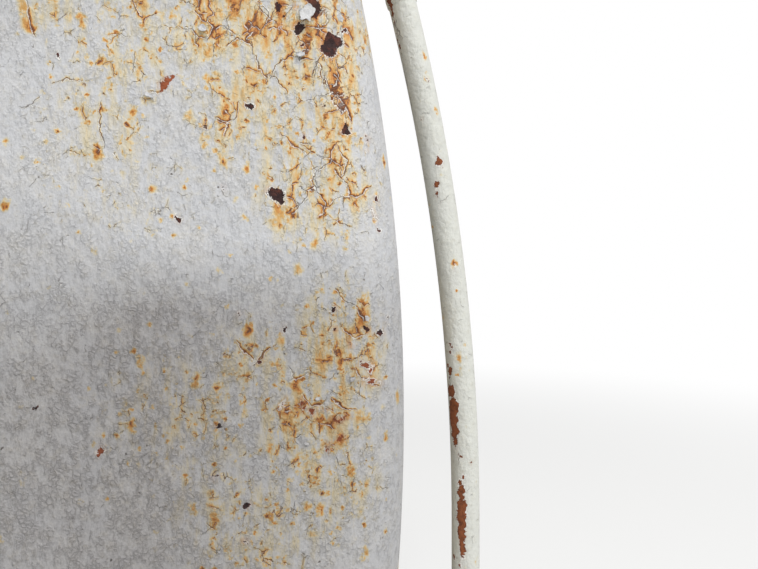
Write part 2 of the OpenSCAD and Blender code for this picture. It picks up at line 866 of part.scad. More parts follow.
// A gauge cock: a pipe from the head, a body around the glass and a handwheel in front.
module sight_glass_cocks() {
    union_nut = [36, 14];
    body = [40, 52];
    gland = [34, 40];
    yoke_h = 12;
    yoke_w = 16;
    spindle_d = 10;
    wheel = [56, 8];
    wheel_out = glass_out + 52;
    spoke_r = 14;
    window_d = 13;
    deep = 40;
    color([0.60, 0.52, 0.34]) at_cocks() difference() {
        union() {
            translate([0, 0, -head_t - cock_inside])
                cylinder(d = cock_pipe_d, h = glass_out + head_t + cock_inside);
            translate([0, 0, 6]) cylinder(d = union_nut[0], h = union_nut[1], $fn = 6);
            translate([0, 0, glass_out - body[1] / 2]) cylinder(d = body[0], h = body[1]);
            translate([0, 0, glass_out]) rotate([-90, 0, 0])
                cylinder(d = gland[0], h = gland[1], $fn = 6);
            translate([-guard_gap - yoke_w / 2, rod_seat + 2, glass_out - yoke_w / 2])
                cube([2 * guard_gap + yoke_w, yoke_h, yoke_w]);
            translate([0, 0, glass_out]) cylinder(d = spindle_d, h = wheel_out - glass_out + wheel[1]);
            translate([0, 0, wheel_out]) difference() {
                cylinder(d = wheel[0], h = wheel[1]);
                for (i = [0 : 3]) rotate([0, 0, i * 90]) translate([spoke_r, 0, -1])
                    cylinder(d = window_d, h = wheel[1] + 2, $fn = 24);
            }
        }
        translate([0, glass_seat, glass_out]) rotate([-90, 0, 0])
            cylinder(d = glass_d + 2 * seat_fit, h = deep);
        for (side = [-1, 1]) translate([side * guard_gap, rod_seat, glass_out])
            rotate([-90, 0, 0]) cylinder(d = guard_d + 2 * seat_fit, h = deep, $fn = 24);
    }
}

module sight_glass_tube() {
    reach = glass_span / 2 - glass_seat - seat_fit;
    wall = 2.5;
    color([0.75, 0.85, 0.88, 0.5])
        translate([glass_x, -face_y - glass_out, glass_mid_z - reach])
            tube(glass_d / 2, wall, 2 * reach);
}

module sight_glass_guards() {
    reach = glass_span / 2 - rod_seat - seat_fit;
    color(bare) for (side = [-1, 1])
        translate([glass_x + side * guard_gap, -face_y - glass_out, glass_mid_z - reach])
            cylinder(d = guard_d, h = 2 * reach, $fn = 24);
}

// The point where a line from a foot of the lug touches its round head, which is at [height, 0].
function lug_touch(foot, height, r) =
    let (run = [foot[0] - height, foot[1]], reach = norm(run), turn = acos(r / reach),
         way = atan2(run[1], run[0]) - sign(foot[1]) * turn)
    [height + r * cos(way), r * sin(way)];

// A lifting lug: a plate on top of the shell with sloping sides, a round head and a hole.
module lifting_lug(y) {
    head_r = lug_hole_d / 2 + lug_rim;
    feet = [[-lug_sink, -lug_w / 2], [lug_foot, -lug_w / 2]];
    left = lug_touch(feet[1], lug_hole_h, head_r);
    color(paint) difference() {
        translate([lug_t / 2, y, top_z]) rotate([0, -90, 0]) linear_extrude(lug_t) {
            polygon([feet[0], feet[1], left, [left[0], -left[1]],
                     [feet[1][0], -feet[1][1]], [feet[0][0], -feet[0][1]]]);
            translate([lug_hole_h, 0]) circle(r = head_r);
        }
        translate([-lug_t, y, top_z + lug_hole_h]) rotate([0, 90, 0])
            cylinder(d = lug_hole_d, h = 2 * lug_t);
        along(y - lug_w) cylinder(r = tank_r, h = 2 * lug_w, $fn = 180);
    }
}

module front_lifting_lug() {
    lifting_lug(-lug_y);
}

module rear_lifting_lug() {
    lifting_lug(lug_y);
}

module drain_coupling() {
    inside_z = 14;
    color(paint) translate([0, drain_y, axis_z - tank_r - drain_h]) difference() {
        cylinder(d = drain_d, h = drain_h + inside_z);
        translate([0, 0, -1]) cylinder(d = drain_bore_d, h = drain_h + inside_z + 2);
    }
}

// A hexagon-headed plug in the drain.
module drain_plug() {
    spigot = 18;
    collar = [drain_bore_d + 6, 5];
    hexagon = [32, 14];
    color(bare) translate([0, drain_y, axis_z - tank_r - drain_h]) union() {
        cylinder(d = drain_bore_d, h = spigot);
        translate([0, 0, -collar[1]]) cylinder(d = collar[0], h = collar[1] + eps);
        translate([0, 0, -collar[1] - hexagon[1]])
            cylinder(d = hexagon[0] / cos(30), h = hexagon[1] + eps, $fn = 6);
    }
}

front_head();
rear_head();
front_shell_course();
rear_shell_course();
girth_welds();
seam_welds();
front_channel();
rear_channel();
front_saddle();
rear_saddle();
front_wear_plate();
rear_wear_plate();
front_hoop();
rear_hoop();
front_hoop_nuts();
rear_hoop_nuts();
manway_pad();
manway_neck();
manway_flange();
manway_gasket();
manway_cover();
manway_bolts();
manway_handles();
fill_coupling();
fill_cap();
relief_coupling();
relief_valve();
gauge_coupling();
gauge_stem();
pressure_gauge();
outlet_nozzle();
outlet_valve();
outlet_lever();
outlet_bolts();
inlet_nozzle();
inlet_valve();
inlet_lever();
inlet_bolts();
sight_glass_cocks();
sight_glass_tube();
sight_glass_guards();
front_lifting_lug();
rear_lifting_lug();
drain_coupling();
drain_plug();
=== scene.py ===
# Horizontal low-pressure tank: old white enamel over rusting steel plate,
# a round-bar hold-down hoop, and the fittings on top and at both ends.
import math
import random

import bmesh
import bpy
import numpy as np
from mathutils import Matrix, Vector, noise


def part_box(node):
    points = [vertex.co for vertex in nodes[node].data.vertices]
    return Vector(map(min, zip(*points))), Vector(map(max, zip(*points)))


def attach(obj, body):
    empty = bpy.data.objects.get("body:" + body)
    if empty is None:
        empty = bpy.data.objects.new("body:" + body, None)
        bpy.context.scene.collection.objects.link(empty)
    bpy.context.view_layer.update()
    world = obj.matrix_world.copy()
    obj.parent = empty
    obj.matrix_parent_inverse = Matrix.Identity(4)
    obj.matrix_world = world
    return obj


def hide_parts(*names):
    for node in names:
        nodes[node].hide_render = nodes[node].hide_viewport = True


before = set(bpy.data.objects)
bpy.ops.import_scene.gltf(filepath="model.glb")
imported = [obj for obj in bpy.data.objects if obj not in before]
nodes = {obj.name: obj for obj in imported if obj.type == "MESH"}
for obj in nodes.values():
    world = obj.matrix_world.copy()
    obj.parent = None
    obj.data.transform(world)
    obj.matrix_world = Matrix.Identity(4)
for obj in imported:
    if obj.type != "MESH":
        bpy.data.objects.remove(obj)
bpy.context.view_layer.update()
scene = bpy.context.scene

headLow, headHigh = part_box("front_head")
rearLow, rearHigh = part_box("rear_head")
tankRadius = (headHigh.x - headLow.x) / 2
axisHeight = (headHigh.z + headLow.z) / 2
faceY = -headLow.y  # half the length over both heads
tankAxis = Vector((0.0, 0.0, axisHeight))
mm = 0.001
# noise_vector starts from the clock unless it gets a number, which here is the one of the views looked at
wearSeed = 1795759703
noise.seed_set(wearSeed)


# Camera: a phone held 20 cm from the head's right-hand edge, turned a little outwards

viewpoint = {"place": (0.7868, -1.5733, 1.0833), "turn": 4.2, "lens": 27.07, "sensor": 36.0}

cameraData = bpy.data.cameras.new("closeUp")
cameraData.lens = viewpoint["lens"]
cameraData.sensor_width = viewpoint["sensor"]
cameraData.clip_start = 0.01
cameraData.clip_end = 60.0
camera = bpy.data.objects.new("closeUp", cameraData)
camera.location = viewpoint["place"]
camera.rotation_euler = (math.radians(90.0), 0.0, -math.radians(viewpoint["turn"]))
scene.collection.objects.link(camera)
scene.camera = camera
scene.view_settings.view_transform = "Standard"
print("stage: camera set")


# Helpers for meshes

def finishPiece(name, bm, material, node=None, sharp=None):
    mesh = bpy.data.meshes.new(name)
    bm.to_mesh(mesh)
    bm.free()
    piece = bpy.data.objects.new(name, mesh)
    scene.collection.objects.link(piece)
    mesh.materials.append(material)
    mesh.shade_smooth()
    if sharp:
        mesh.set_sharp_from_angle(angle=math.radians(sharp))
    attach(piece, "root")
    if node:
        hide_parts(node)
    return piece


def drawChain(bm, points):
    verts = [bm.verts.new(point) for point in points]
    edges = [bm.edges.new(pair) for pair in zip(verts, verts[1:])]
    return verts + edges


def spinChain(bm, chain, centre, axis, angle, steps, full=False):
    made = bmesh.ops.spin(bm, geom=chain, cent=centre, axis=axis, angle=angle, steps=steps, use_merge=full)
    return made["geom_last"]


def closeShape(bm, gap=0.00001):
    bmesh.ops.remove_doubles(bm, verts=bm.verts, dist=gap)
    bmesh.ops.recalc_face_normals(bm, faces=bm.faces)


def turned(profile, steps):
    # a closed solid of revolution about Z from (radius, height) points
    bm = bmesh.new()
    chain = drawChain(bm, [(radius, 0.0, height) for radius, height in profile])
    spinChain(bm, chain, (0, 0, 0), (0, 0, 1), 2 * math.pi, steps, full=True)
    closeShape(bm)
    return bm


def addPart(bm, part, place, keep=False):
    # copies a part into a bigger shape, at a place given as a matrix
    mesh = bpy.data.meshes.new("part")
    part.to_mesh(mesh)
    mesh.transform(place)
    bm.from_mesh(mesh)
    bpy.data.meshes.remove(mesh)
    if not keep:
        part.free()


def steppedTo(start, end, step):
    count = max(1, round(abs(end - start) / step))
    return [start + (end - start) * i / count for i in range(count + 1)]


# Helpers for materials

def toLinear(hexCode):
    parts = [int(hexCode[i:i + 2], 16) / 255 for i in (1, 3, 5)]
    linear = [c / 12.92 if c <= 0.04045 else ((c + 0.055) / 1.055) ** 2.4 for c in parts]
    return (*linear, 1.0)


def addNode(tree, kind, inputs=None, **settings):
    node = tree.nodes.new("ShaderNode" + kind)
    for name, value in settings.items():
        setattr(node, name, value)
    ready = [socket for socket in node.inputs if socket.enabled]
    for key, value in (inputs or {}).items():
        socket = ready[key] if isinstance(key, int) else next(s for s in ready if s.name == key)
        if isinstance(value, bpy.types.Node):
            value = next(s for s in value.outputs if s.enabled)
        if isinstance(value, bpy.types.NodeSocket):
            tree.links.new(value, socket)
        else:
            socket.default_value = value
    return node


def startMaterial(name):
    material = bpy.data.materials.new(name)
    material.use_nodes = True
    tree = material.node_tree
    tree.nodes.clear()
    return material, tree


# Wear that the close-up shows, in millimetres on the head: x from the tank's axis, height above it

flakedSpots = {
    "shoulder": [(783.0, 142.0), (784.7, 141.0), (787.1, 141.0), (788.9, 139.1), (788.7, 137.4),
                 (786.6, 136.2), (785.9, 133.7), (784.7, 132.4), (782.8, 133.7), (780.9, 135.1),
                 (781.1, 137.4), (782.8, 138.9)],
    "underCurl": [(771.2, 141.4), (772.2, 143.6), (774.1, 144.5), (775.6, 143.3), (775.8, 142.3),
                  (774.4, 141.2), (773.6, 139.5), (772.2, 139.5)],
    "topEdge": [(774.9, 153.5), (779.8, 152.6), (781.1, 150.2), (781.8, 149.2), (780.6, 148.3),
                (779.4, 145.8), (778.3, 146.7), (777.9, 149.5), (776.6, 151.4)],
    "topLeft": [(765.2, 151.2), (766.6, 151.4), (767.4, 150.0), (766.4, 147.5), (765.6, 147.8)],
    "roundDot": [(755.3, 115.5), (756.5, 116.0), (757.9, 115.3), (757.9, 113.9), (756.8, 112.9),
                 (755.0, 113.8)],
    "drop": [(790.0, 109.7), (791.7, 107.5), (791.9, 106.1), (789.8, 104.9), (788.4, 106.3),
             (789.0, 108.2)],
    "middle": [(762.0, 84.2), (763.3, 86.3), (767.6, 85.6), (768.5, 84.0), (768.3, 82.2),
               (768.5, 80.8), (766.9, 80.1), (765.4, 81.3), (763.1, 82.4)],
    "darkEdge": [(795.0, 37.0), (796.6, 37.6), (798.2, 36.5), (797.7, 35.3), (796.6, 35.7)],
    "leafChip": [(785.0, 44.4), (786.2, 44.6), (786.0, 42.9), (785.0, 41.9), (784.2, 42.5)],
}
# Small flakes: x, height, width, height of the flake, turn in degrees
smallFlakes = [
    (759.8, 152.2, 1.2, 1.2, 0), (771.9, 149.8, 0.9, 1.0, 20), (766.7, 142.5, 1.2, 0.5, 10),
    (774.9, 136.6, 0.8, 0.5, 0), (783.0, 131.1, 0.9, 0.6, -30), (782.2, 115.4, 0.9, 1.1, 0),
    (790.1, 143.5, 2.2, 0.8, 40), (768.4, 146.6, 0.8, 0.6, 30), (741.0, 107.0, 0.9, 0.9, 30),
    (747.5, 86.2, 1.4, 1.6, 0), (731.9, 75.0, 2.0, 1.4, -30), (679.4, 141.0, 1.6, 1.5, 20),
    (692.0, 130.2, 0.9, 1.2, -20), (797.5, 104.0, 0.4, 1.8, 0), (797.5, 100.3, 0.5, 0.5, 0),
    (800.9, 83.3, 0.8, 1.1, 0), (799.2, 79.3, 0.5, 0.9, 0), (800.6, 75.9, 0.5, 1.9, 25),
    (802.0, 74.4, 0.5, 1.2, 20), (802.4, 72.2, 0.4, 1.0, 0), (768.4, 36.3, 1.6, 2.0, 10),
    (785.9, 36.6, 1.0, 0.5, 25), (791.8, 30.6, 0.8, 1.7, 20), (802.3, 35.1, 2.8, 2.4, 0),
    (805.2, 40.1, 1.2, 0.8, 30), (806.1, 37.5, 0.6, 0.6, 0), (774.8, 104.2, 0.5, 0.5, 0),
    (745.8, 2.9, 2.4, 2.2, 20), (755.0, -24.9, 2.6, 2.1, 10), (755.0, -37.1, 1.4, 1.2, 0),
    (744.4, -14.6, 1.6, 1.2, 15), (760.0, 25.4, 0.5, 0.5, 0), (752.9, 42.0, 0.7, 0.4, 0),
    (684.3, 10.4, 1.7, 1.3, 10),
]
# Bare red-brown slivers where a splinter of paint has gone: the same five numbers
redSlivers = [
    (728.0, 121.8, 2.2, 5.9, -42), (767.7, 10.3, 1.3, 3.4, -28), (799.1, 17.5, 4.4, 1.3, -18),
    (774.8, 9.2, 1.4, 2.3, 0), (777.8, 7.4, 2.2, 1.6, 20), (782.8, 8.6, 2.0, 1.3, 30),
    (788.6, 5.1, 3.0, 0.9, 12), (798.6, 22.6, 1.1, 2.5, -15), (796.6, 23.6, 2.2, 1.0, 0),
    (794.6, 24.0, 0.9, 1.8, -20), (787.1, -2.5, 2.4, 1.2, 20), (783.0, -5.6, 1.2, 2.2, 0),
    (705.8, -4.9, 1.7, 3.0, -20),
]
# Rust stains: x, height, radius of the blot, length of the run below it, strength
rustBlots = [
    (785.0, 136.0, 6.5, 9.0, 0.75), (774.0, 141.0, 6.0, 7.0, 0.80), (779.0, 148.9, 6.5, 5.0, 0.60),
    (766.0, 149.6, 4.0, 6.0, 0.55), (756.5, 113.6, 1.9, 5.0, 0.85), (790.3, 105.6, 3.0, 8.0, 0.90),
    (782.5, 114.4, 2.0, 4.0, 0.60), (766.0, 81.8, 3.4, 12.0, 0.80), (769.4, 77.8, 1.7, 9.0, 0.90),
    (770.2, 83.4, 1.7, 3.0, 0.70), (750.5, 149.5, 6.0, 7.0, 0.85), (757.5, 141.0, 1.2, 5.0, 0.80),
    (742.6, 135.5, 1.5, 7.0, 0.75), (745.2, 127.5, 1.2, 5.0, 0.60), (774.3, 137.0, 2.4, 5.5, 0.90),
    (786.8, 128.5, 1.8, 9.0, 0.90), (783.5, 122.5, 3.8, 12.0, 0.55), (777.5, 128.0, 4.0, 7.0, 0.50),
    (768.0, 132.0, 5.0, 6.0, 0.35), (744.0, 145.0, 2.8, 4.0, 0.45), (739.5, 141.5, 3.2, 5.0, 0.45),
    (786.0, 121.0, 1.6, 6.0, 0.85), (788.6, 117.0, 1.4, 5.0, 0.80), (794.0, 106.5, 1.0, 3.0, 0.75),
    (747.5, 109.3, 1.3, 4.0, 0.70), (751.0, 111.0, 0.8, 3.0, 0.60), (762.5, 104.0, 1.2, 2.0, 0.70),
    (770.6, 107.2, 1.0, 2.0, 0.60), (778.0, 108.6, 1.3, 2.5, 0.70), (767.5, 93.5, 1.2, 4.0, 0.65),
    (774.8, 92.0, 2.2, 3.0, 0.75), (784.0, 96.0, 1.2, 5.0, 0.70), (790.6, 85.0, 2.0, 6.0, 0.60),
    (785.5, 87.5, 1.5, 5.0, 0.55), (787.1, 75.5, 1.4, 3.0, 0.90), (800.2, 86.6, 1.0, 2.5, 0.70),
    (751.5, 82.5, 1.5, 1.5, 0.40), (753.0, 119.0, 2.0, 6.0, 0.35), (746.5, 96.5, 1.4, 5.0, 0.50),
    (723.8, 85.2, 1.5, 2.0, 0.90), (686.9, 145.0, 2.0, 3.5, 0.80), (682.7, 140.3, 1.9, 2.5, 0.90),
    (688.0, 134.9, 0.8, 1.5, 0.50), (694.5, 146.3, 1.2, 1.5, 0.55), (705.6, 149.0, 1.3, 4.0, 0.75),
    (721.0, 124.5, 1.4, 5.0, 0.75), (718.0, 130.5, 0.9, 3.0, 0.60), (709.5, 121.0, 1.5, 5.0, 0.65),
    (716.9, 130.6, 1.0, 1.0, 0.60), (719.2, 106.0, 1.3, 1.5, 0.60), (706.5, 122.0, 0.8, 2.0, 0.55),
    (705.8, 118.5, 1.2, 1.5, 0.75), (706.5, 112.2, 1.5, 2.0, 0.75), (700.6, 108.5, 1.1, 2.5, 0.65),
    (695.0, 117.0, 0.9, 1.5, 0.50), (705.6, 101.0, 0.7, 9.0, 0.75), (712.2, 104.0, 0.8, 5.0, 0.50),
    (716.5, 101.5, 1.4, 3.0, 0.55), (713.0, 97.5, 0.8, 1.5, 0.60), (674.8, 100.7, 1.1, 1.0, 0.80),
    (735.5, 112.0, 1.6, 4.0, 0.60), (713.5, 91.0, 1.5, 2.0, 0.45), (727.0, 146.5, 2.0, 8.0, 0.45),
    (734.0, 143.0, 1.5, 9.0, 0.50), (720.5, 149.0, 2.0, 5.0, 0.55), (713.0, 134.0, 1.0, 3.0, 0.50),
    (796.0, 42.5, 3.0, 6.0, 0.90), (794.0, 36.5, 3.4, 5.0, 0.80), (768.0, 34.0, 1.6, 8.0, 0.60),
    (788.6, 24.5, 2.0, 2.5, 0.95), (784.8, 26.5, 1.4, 3.5, 0.75), (791.4, 28.0, 1.3, 2.5, 0.75),
    (787.2, 32.6, 1.3, 2.0, 0.75), (783.2, 32.4, 1.2, 3.0, 0.55), (772.0, 17.6, 2.0, 4.5, 0.95),
    (779.4, 17.5, 3.4, 2.5, 0.40), (790.0, 14.2, 1.5, 2.0, 0.80), (767.0, 7.2, 1.6, 2.0, 0.80),
    (771.6, 7.0, 1.7, 2.0, 0.65), (794.8, 6.8, 3.6, 4.0, 0.60), (797.4, 5.2, 1.6, 3.0, 0.70),
    (775.5, 1.5, 3.0, 3.5, 0.60), (781.0, 2.5, 3.5, 3.5, 0.60), (766.5, -4.0, 1.5, 2.0, 0.60),
    (760.8, 25.0, 2.0, 6.0, 0.40), (751.0, 31.6, 1.0, 3.0, 0.45), (756.0, 19.0, 2.4, 2.0, 0.45),
    (754.5, 7.5, 1.8, 2.5, 0.50), (747.0, 7.0, 1.5, 2.0, 0.40), (746.0, 1.4, 1.5, 2.5, 0.70),
    (773.5, -9.0, 3.2, 2.5, 0.75), (780.5, -6.5, 2.6, 2.5, 0.70), (776.0, -13.0, 2.0, 3.0, 0.60),
    (786.0, -3.6, 3.4, 3.5, 0.60), (797.0, -18.0, 2.2, 2.0, 0.65), (776.5, -25.8, 1.8, 2.0, 0.65),
    (777.6, -35.2, 1.8, 2.0, 0.60), (795.2, -28.0, 3.0, 3.0, 0.35), (742.8, -20.6, 2.4, 3.0, 0.40),
    (798.2, -2.0, 1.6, 2.5, 0.60), (801.0, 27.0, 1.2, 5.0, 0.45), (803.0, 8.0, 1.6, 2.0, 0.40),
]
# Wide areas where the enamel has let rust through: x, height, half width, half height, strength
rustAreas = [
    (768.0, 147.0, 32.0, 18.0, 1.05), (785.0, 122.0, 10.0, 26.0, 1.00), (780.0, 90.0, 22.0, 24.0, 0.72),
    (742.0, 143.0, 12.0, 15.0, 0.90), (748.0, 110.0, 11.0, 20.0, 0.60), (716.0, 134.0, 28.0, 26.0, 0.46),
    (705.0, 108.0, 24.0, 28.0, 0.38), (765.0, 118.0, 22.0, 22.0, 0.58), (690.0, 146.0, 14.0, 9.0, 0.60),
    (788.0, 28.0, 16.0, 26.0, 0.74), (778.0, 0.0, 20.0, 22.0, 0.74), (755.0, 20.0, 20.0, 22.0, 0.48),
    (762.0, -30.0, 36.0, 22.0, 0.48), (790.0, -15.0, 14.0, 22.0, 0.52), (735.0, 5.0, 30.0, 30.0, 0.38),
    (715.0, 85.0, 30.0, 20.0, 0.30),
]
# Splits in the enamel, as the (x, height) points of each line
paintSplits = [
    [(776.4, 143.3), (778.6, 142.9), (780.6, 143.3), (782.2, 141.7), (783.4, 141.1)],
    [(782.8, 147.8), (783.2, 145.3), (782.0, 143.3)], [(780.8, 148.0), (781.9, 150.4), (783.4, 150.2)],
    [(788.2, 142.0), (790.4, 144.6), (791.9, 142.1)], [(787.0, 141.4), (789.6, 143.6)],
    [(761.0, 142.6), (763.2, 145.8), (762.4, 148.4), (760.6, 149.3)],
    [(764.0, 141.9), (767.2, 142.6), (768.3, 141.5)],
    [(749.0, 136.4), (751.9, 138.2), (755.0, 137.6), (756.9, 139.6)], [(755.0, 137.6), (756.6, 136.4)],
    [(775.8, 134.2), (773.6, 133.9), (773.8, 131.9), (777.2, 131.6)],
    [(763.2, 126.1), (766.0, 129.4), (767.6, 131.0)], [(763.2, 126.1), (766.2, 124.4), (768.9, 120.0)],
    [(783.6, 121.7), (787.3, 119.3), (791.0, 115.2)], [(783.6, 121.7), (784.8, 117.8), (788.4, 113.6)],
    [(788.4, 113.6), (791.0, 115.2), (792.0, 111.0)], [(783.6, 121.7), (782.6, 124.6)],
    [(780.4, 131.4), (780.8, 126.5), (782.4, 122.4)], [(786.8, 130.8), (787.4, 125.2), (785.6, 120.8)],
    [(782.4, 134.0), (779.6, 130.4), (778.4, 126.8)], [(758.8, 131.6), (760.0, 127.4), (762.2, 125.0)],
    [(738.6, 146.2), (741.2, 144.0), (743.4, 145.8), (742.6, 149.6)],
    [(741.2, 144.0), (744.0, 141.6), (742.6, 138.4)], [(744.0, 141.6), (748.0, 142.4), (749.6, 140.6)],
    [(745.6, 110.2), (748.8, 109.0), (751.4, 110.6), (752.6, 115.0)], [(748.8, 109.0), (748.0, 105.4)],
    [(768.3, 104.6), (771.4, 101.4), (775.8, 98.2), (779.4, 92.6)],
    [(779.4, 92.6), (784.2, 95.4), (785.2, 101.2)],
    [(779.4, 92.6), (777.8, 88.6), (780.0, 84.8)], [(787.0, 101.0), (790.4, 96.6), (789.6, 92.0)],
    [(786.4, 92.2), (790.4, 87.6), (791.2, 83.2)], [(791.2, 83.2), (786.8, 82.9), (784.2, 80.4)],
    [(791.2, 83.2), (795.6, 84.8), (798.2, 87.4)], [(774.4, 86.2), (777.0, 85.2), (779.8, 86.6)],
    [(783.6, 76.6), (787.4, 74.4), (790.6, 73.4)], [(787.4, 74.4), (787.6, 77.9)],
    [(780.0, 84.8), (783.4, 80.0), (781.0, 76.4)], [(772.2, 78.6), (775.6, 82.4), (777.0, 85.2)],
    [(686.2, 147.8), (687.4, 144.6), (689.8, 143.6)], [(687.4, 144.6), (685.2, 143.4)],
    [(690.4, 150.8), (693.4, 148.6), (694.2, 146.0)], [(681.4, 141.4), (683.2, 139.9), (684.0, 137.6)],
    [(709.2, 138.2), (711.9, 138.4), (713.6, 138.0)], [(711.9, 138.4), (709.6, 136.2)],
    [(722.8, 119.0), (725.8, 118.6), (727.4, 120.0)], [(691.0, 121.4), (695.0, 122.6), (698.8, 122.4)],
    [(705.8, 113.6), (705.6, 106.6), (707.2, 100.4)], [(717.8, 148.6), (719.8, 150.4), (723.2, 149.6)],
    [(719.8, 143.6), (717.8, 146.2), (717.8, 148.6)], [(719.8, 143.6), (723.4, 145.6)],
    [(680.4, 113.0), (683.2, 113.4), (685.2, 115.4)], [(733.2, 141.4), (737.0, 140.4), (738.4, 136.2)],
    [(787.0, 50.0), (788.4, 47.2), (793.0, 45.2), (795.8, 40.4)],
    [(789.8, 36.0), (792.8, 33.4), (796.4, 34.8)],
    [(794.0, 21.8), (795.2, 19.4), (797.6, 18.4)], [(797.6, 18.4), (801.0, 16.6)],
    [(759.4, 24.4), (761.4, 29.0), (764.6, 31.0)], [(761.4, 29.0), (758.2, 25.0)],
    [(752.4, 31.6), (754.8, 28.6), (757.6, 26.8), (759.4, 24.4)],
    [(775.6, 12.4), (777.8, 9.8), (781.0, 10.2)],
    [(770.6, 22.2), (772.4, 19.2), (776.0, 21.0)], [(785.4, 11.6), (788.8, 8.4), (792.4, 8.2)],
]
# The bar's wear: height above the tank's axis, angle round the bar from the side that faces
# the photograph (left is minus), half width in degrees, half height in millimetres
barFlakes = [
    (190.0, -46, 22, 8.0), (183.0, -50, 14, 5.0), (177.0, -56, 8, 3.0), (166.0, -62, 5, 4.0),
    (146.0, 30, 3, 0.7), (128.0, -20, 3, 0.6), (108.0, 17, 18, 2.3), (97.0, -10, 9, 2.2),
    (93.5, -14, 6, 2.6), (60.0, 22, 3, 0.7), (24.0, -38, 5, 0.8), (22.0, -30, 8, 2.0),
    (15.0, -58, 8, 1.2), (12.0, -46, 12, 2.2), (3.0, -48, 20, 3.5), (-4.0, -41, 25, 4.5),
    (-10.0, -45, 22, 5.5), (-16.0, -40, 20, 5.0), (-21.0, -36, 10, 2.6), (-27.0, -18, 8, 0.9),
    (-30.0, 26, 3, 0.6), (-36.0, -6, 8, 1.2), (-39.0, -20, 11, 1.6), (-43.5, -17, 13, 4.0),
    (-50.0, -15, 22, 4.5), (-56.0, -17, 20, 6.0), (-63.0, -14, 15, 6.0), (-69.0, -12, 12, 3.4),
    (-74.0, -52, 5, 1.6), (-77.0, -20, 4, 0.6), (-90.0, 10, 12, 5.0), (-110.0, -30, 16, 8.0),
]
# Splits down the bar, as (angle, height) points
barSplits = [
    [(-48, 184.0), (-56, 176.0), (-53, 171.0), (-58, 164.0), (-64, 152.0), (-68, 140.0), (-71, 128.0)],
    [(-54, 172.5), (-42, 169.0), (-36, 165.0)], [(-53, 171.0), (-44, 173.5)],
    [(-40, 5.5), (-52, 9.0), (-46, 13.0)], [(-24, -26.0), (-14, -26.5)], [(-22, -26.0), (-24, -30.0)],
]
# Loose flakes of enamel, still held at one side: x, height, width, height of the flake, turn, lift
looseFlakes = [
    (776.4, 147.6, 5.0, 6.2, -12, 1.7), (774.0, 133.2, 2.8, 1.9, 10, 1.0), (740.1, 141.2, 3.0, 2.2, -5, 0.9),
    (722.3, 117.6, 3.2, 1.3, -35, 0.8), (788.0, 146.4, 1.9, 2.8, 25, 0.7), (792.2, 19.0, 1.9, 1.2, 20, 0.6),
    (780.0, 12.2, 1.8, 1.0, 15, 0.6), (797.4, 40.4, 1.4, 1.8, 10, 0.6), (776.2, -3.6, 1.6, 1.0, -25, 0.5),
]


# Fields of wear over a set of points (px, pz), everything in millimetres

def awayFrom(px, pz, ax, az, bx, bz):
    # how far the points lie from the piece of line between a and b
    along = ((px - ax) * (bx - ax) + (pz - az) * (bz - az)) / ((bx - ax) ** 2 + (bz - az) ** 2)
    along = np.clip(along, 0, 1)
    return np.hypot(px - ax - along * (bx - ax), pz - az - along * (bz - az))


def outlineDepth(px, pz, outline):
    # how deep the points lie inside a closed outline, less than 0 outside it
    nearest = np.full(px.shape, 99.0)
    inside = np.zeros(px.shape, bool)
    for (ax, az), (bx, bz) in zip(outline, outline[1:] + outline[:1]):
        nearest = np.minimum(nearest, awayFrom(px, pz, ax, az, bx, bz))
        crosses = (az > pz) != (bz > pz)
        if az != bz:
            inside ^= crosses & (px < ax + (pz - az) * (bx - ax) / (bz - az))
    return np.where(inside, nearest, -nearest)


def ovalDepth(px, pz, flake):
    x, z, width, height, turn = flake
    cosT, sinT = math.cos(math.radians(turn)), math.sin(math.radians(turn))
    u = (px - x) * cosT + (pz - z) * sinT
    v = (pz - z) * cosT - (px - x) * sinT
    reach = np.hypot(2 * u / width, 2 * v / height)
    return (1.0 - reach) * min(width, height) / 2


def blotStrength(px, pz, blots):
    total = np.zeros(px.shape)
    for x, z, radius, run, strength in blots:
        drop = np.where(pz < z, run, radius)
        reach = np.hypot((px - x) / radius, (pz - z) / drop)
        total = np.maximum(total, strength * np.exp(-1.3 * reach ** 2))
    return total


def areaStrength(px, pz, areas):
    total = np.zeros(px.shape)
    for x, z, halfWidth, halfHeight, strength in areas:
        reach = np.hypot((px - x) / halfWidth, (pz - z) / halfHeight)
        total = np.maximum(total, strength * np.clip(1.6 - 1.2 * reach, 0, 1))
    return total


def splitSides(px, pz, splits, widest=3.0):
    # how far to the side of the nearest split the points lie, and how near it they are, from 0 to 1
    nearest = np.full(px.shape, widest)
    side = np.full(px.shape, widest)
    for line in splits:
        for (ax, az), (bx, bz) in zip(line, line[1:]):
            away = awayFrom(px, pz, ax, az, bx, bz)
            across = ((px - ax) * (bz - az) - (pz - az) * (bx - ax)) / math.hypot(bx - ax, bz - az)
            closer = away < nearest
            nearest = np.where(closer, away, nearest)
            side = np.where(closer, across, side)
    return side, 1.0 - nearest / widest


def writeField(mesh, name, values):
    field = mesh.attributes.new(name, "FLOAT", "POINT")
    field.data.foreach_set("value", values.astype(np.float32))


def pointsOf(mesh):
    flat = np.zeros(len(mesh.vertices) * 3, np.float32)
    mesh.vertices.foreach_get("co", flat)
    return flat.reshape(-1, 3).astype(float)


# Enamel: alkyd enamel rolled on by hand, twenty years outdoors. It has gone chalky and matt, it has
# split into a net of fine lines, and rust comes through the splits and runs down.

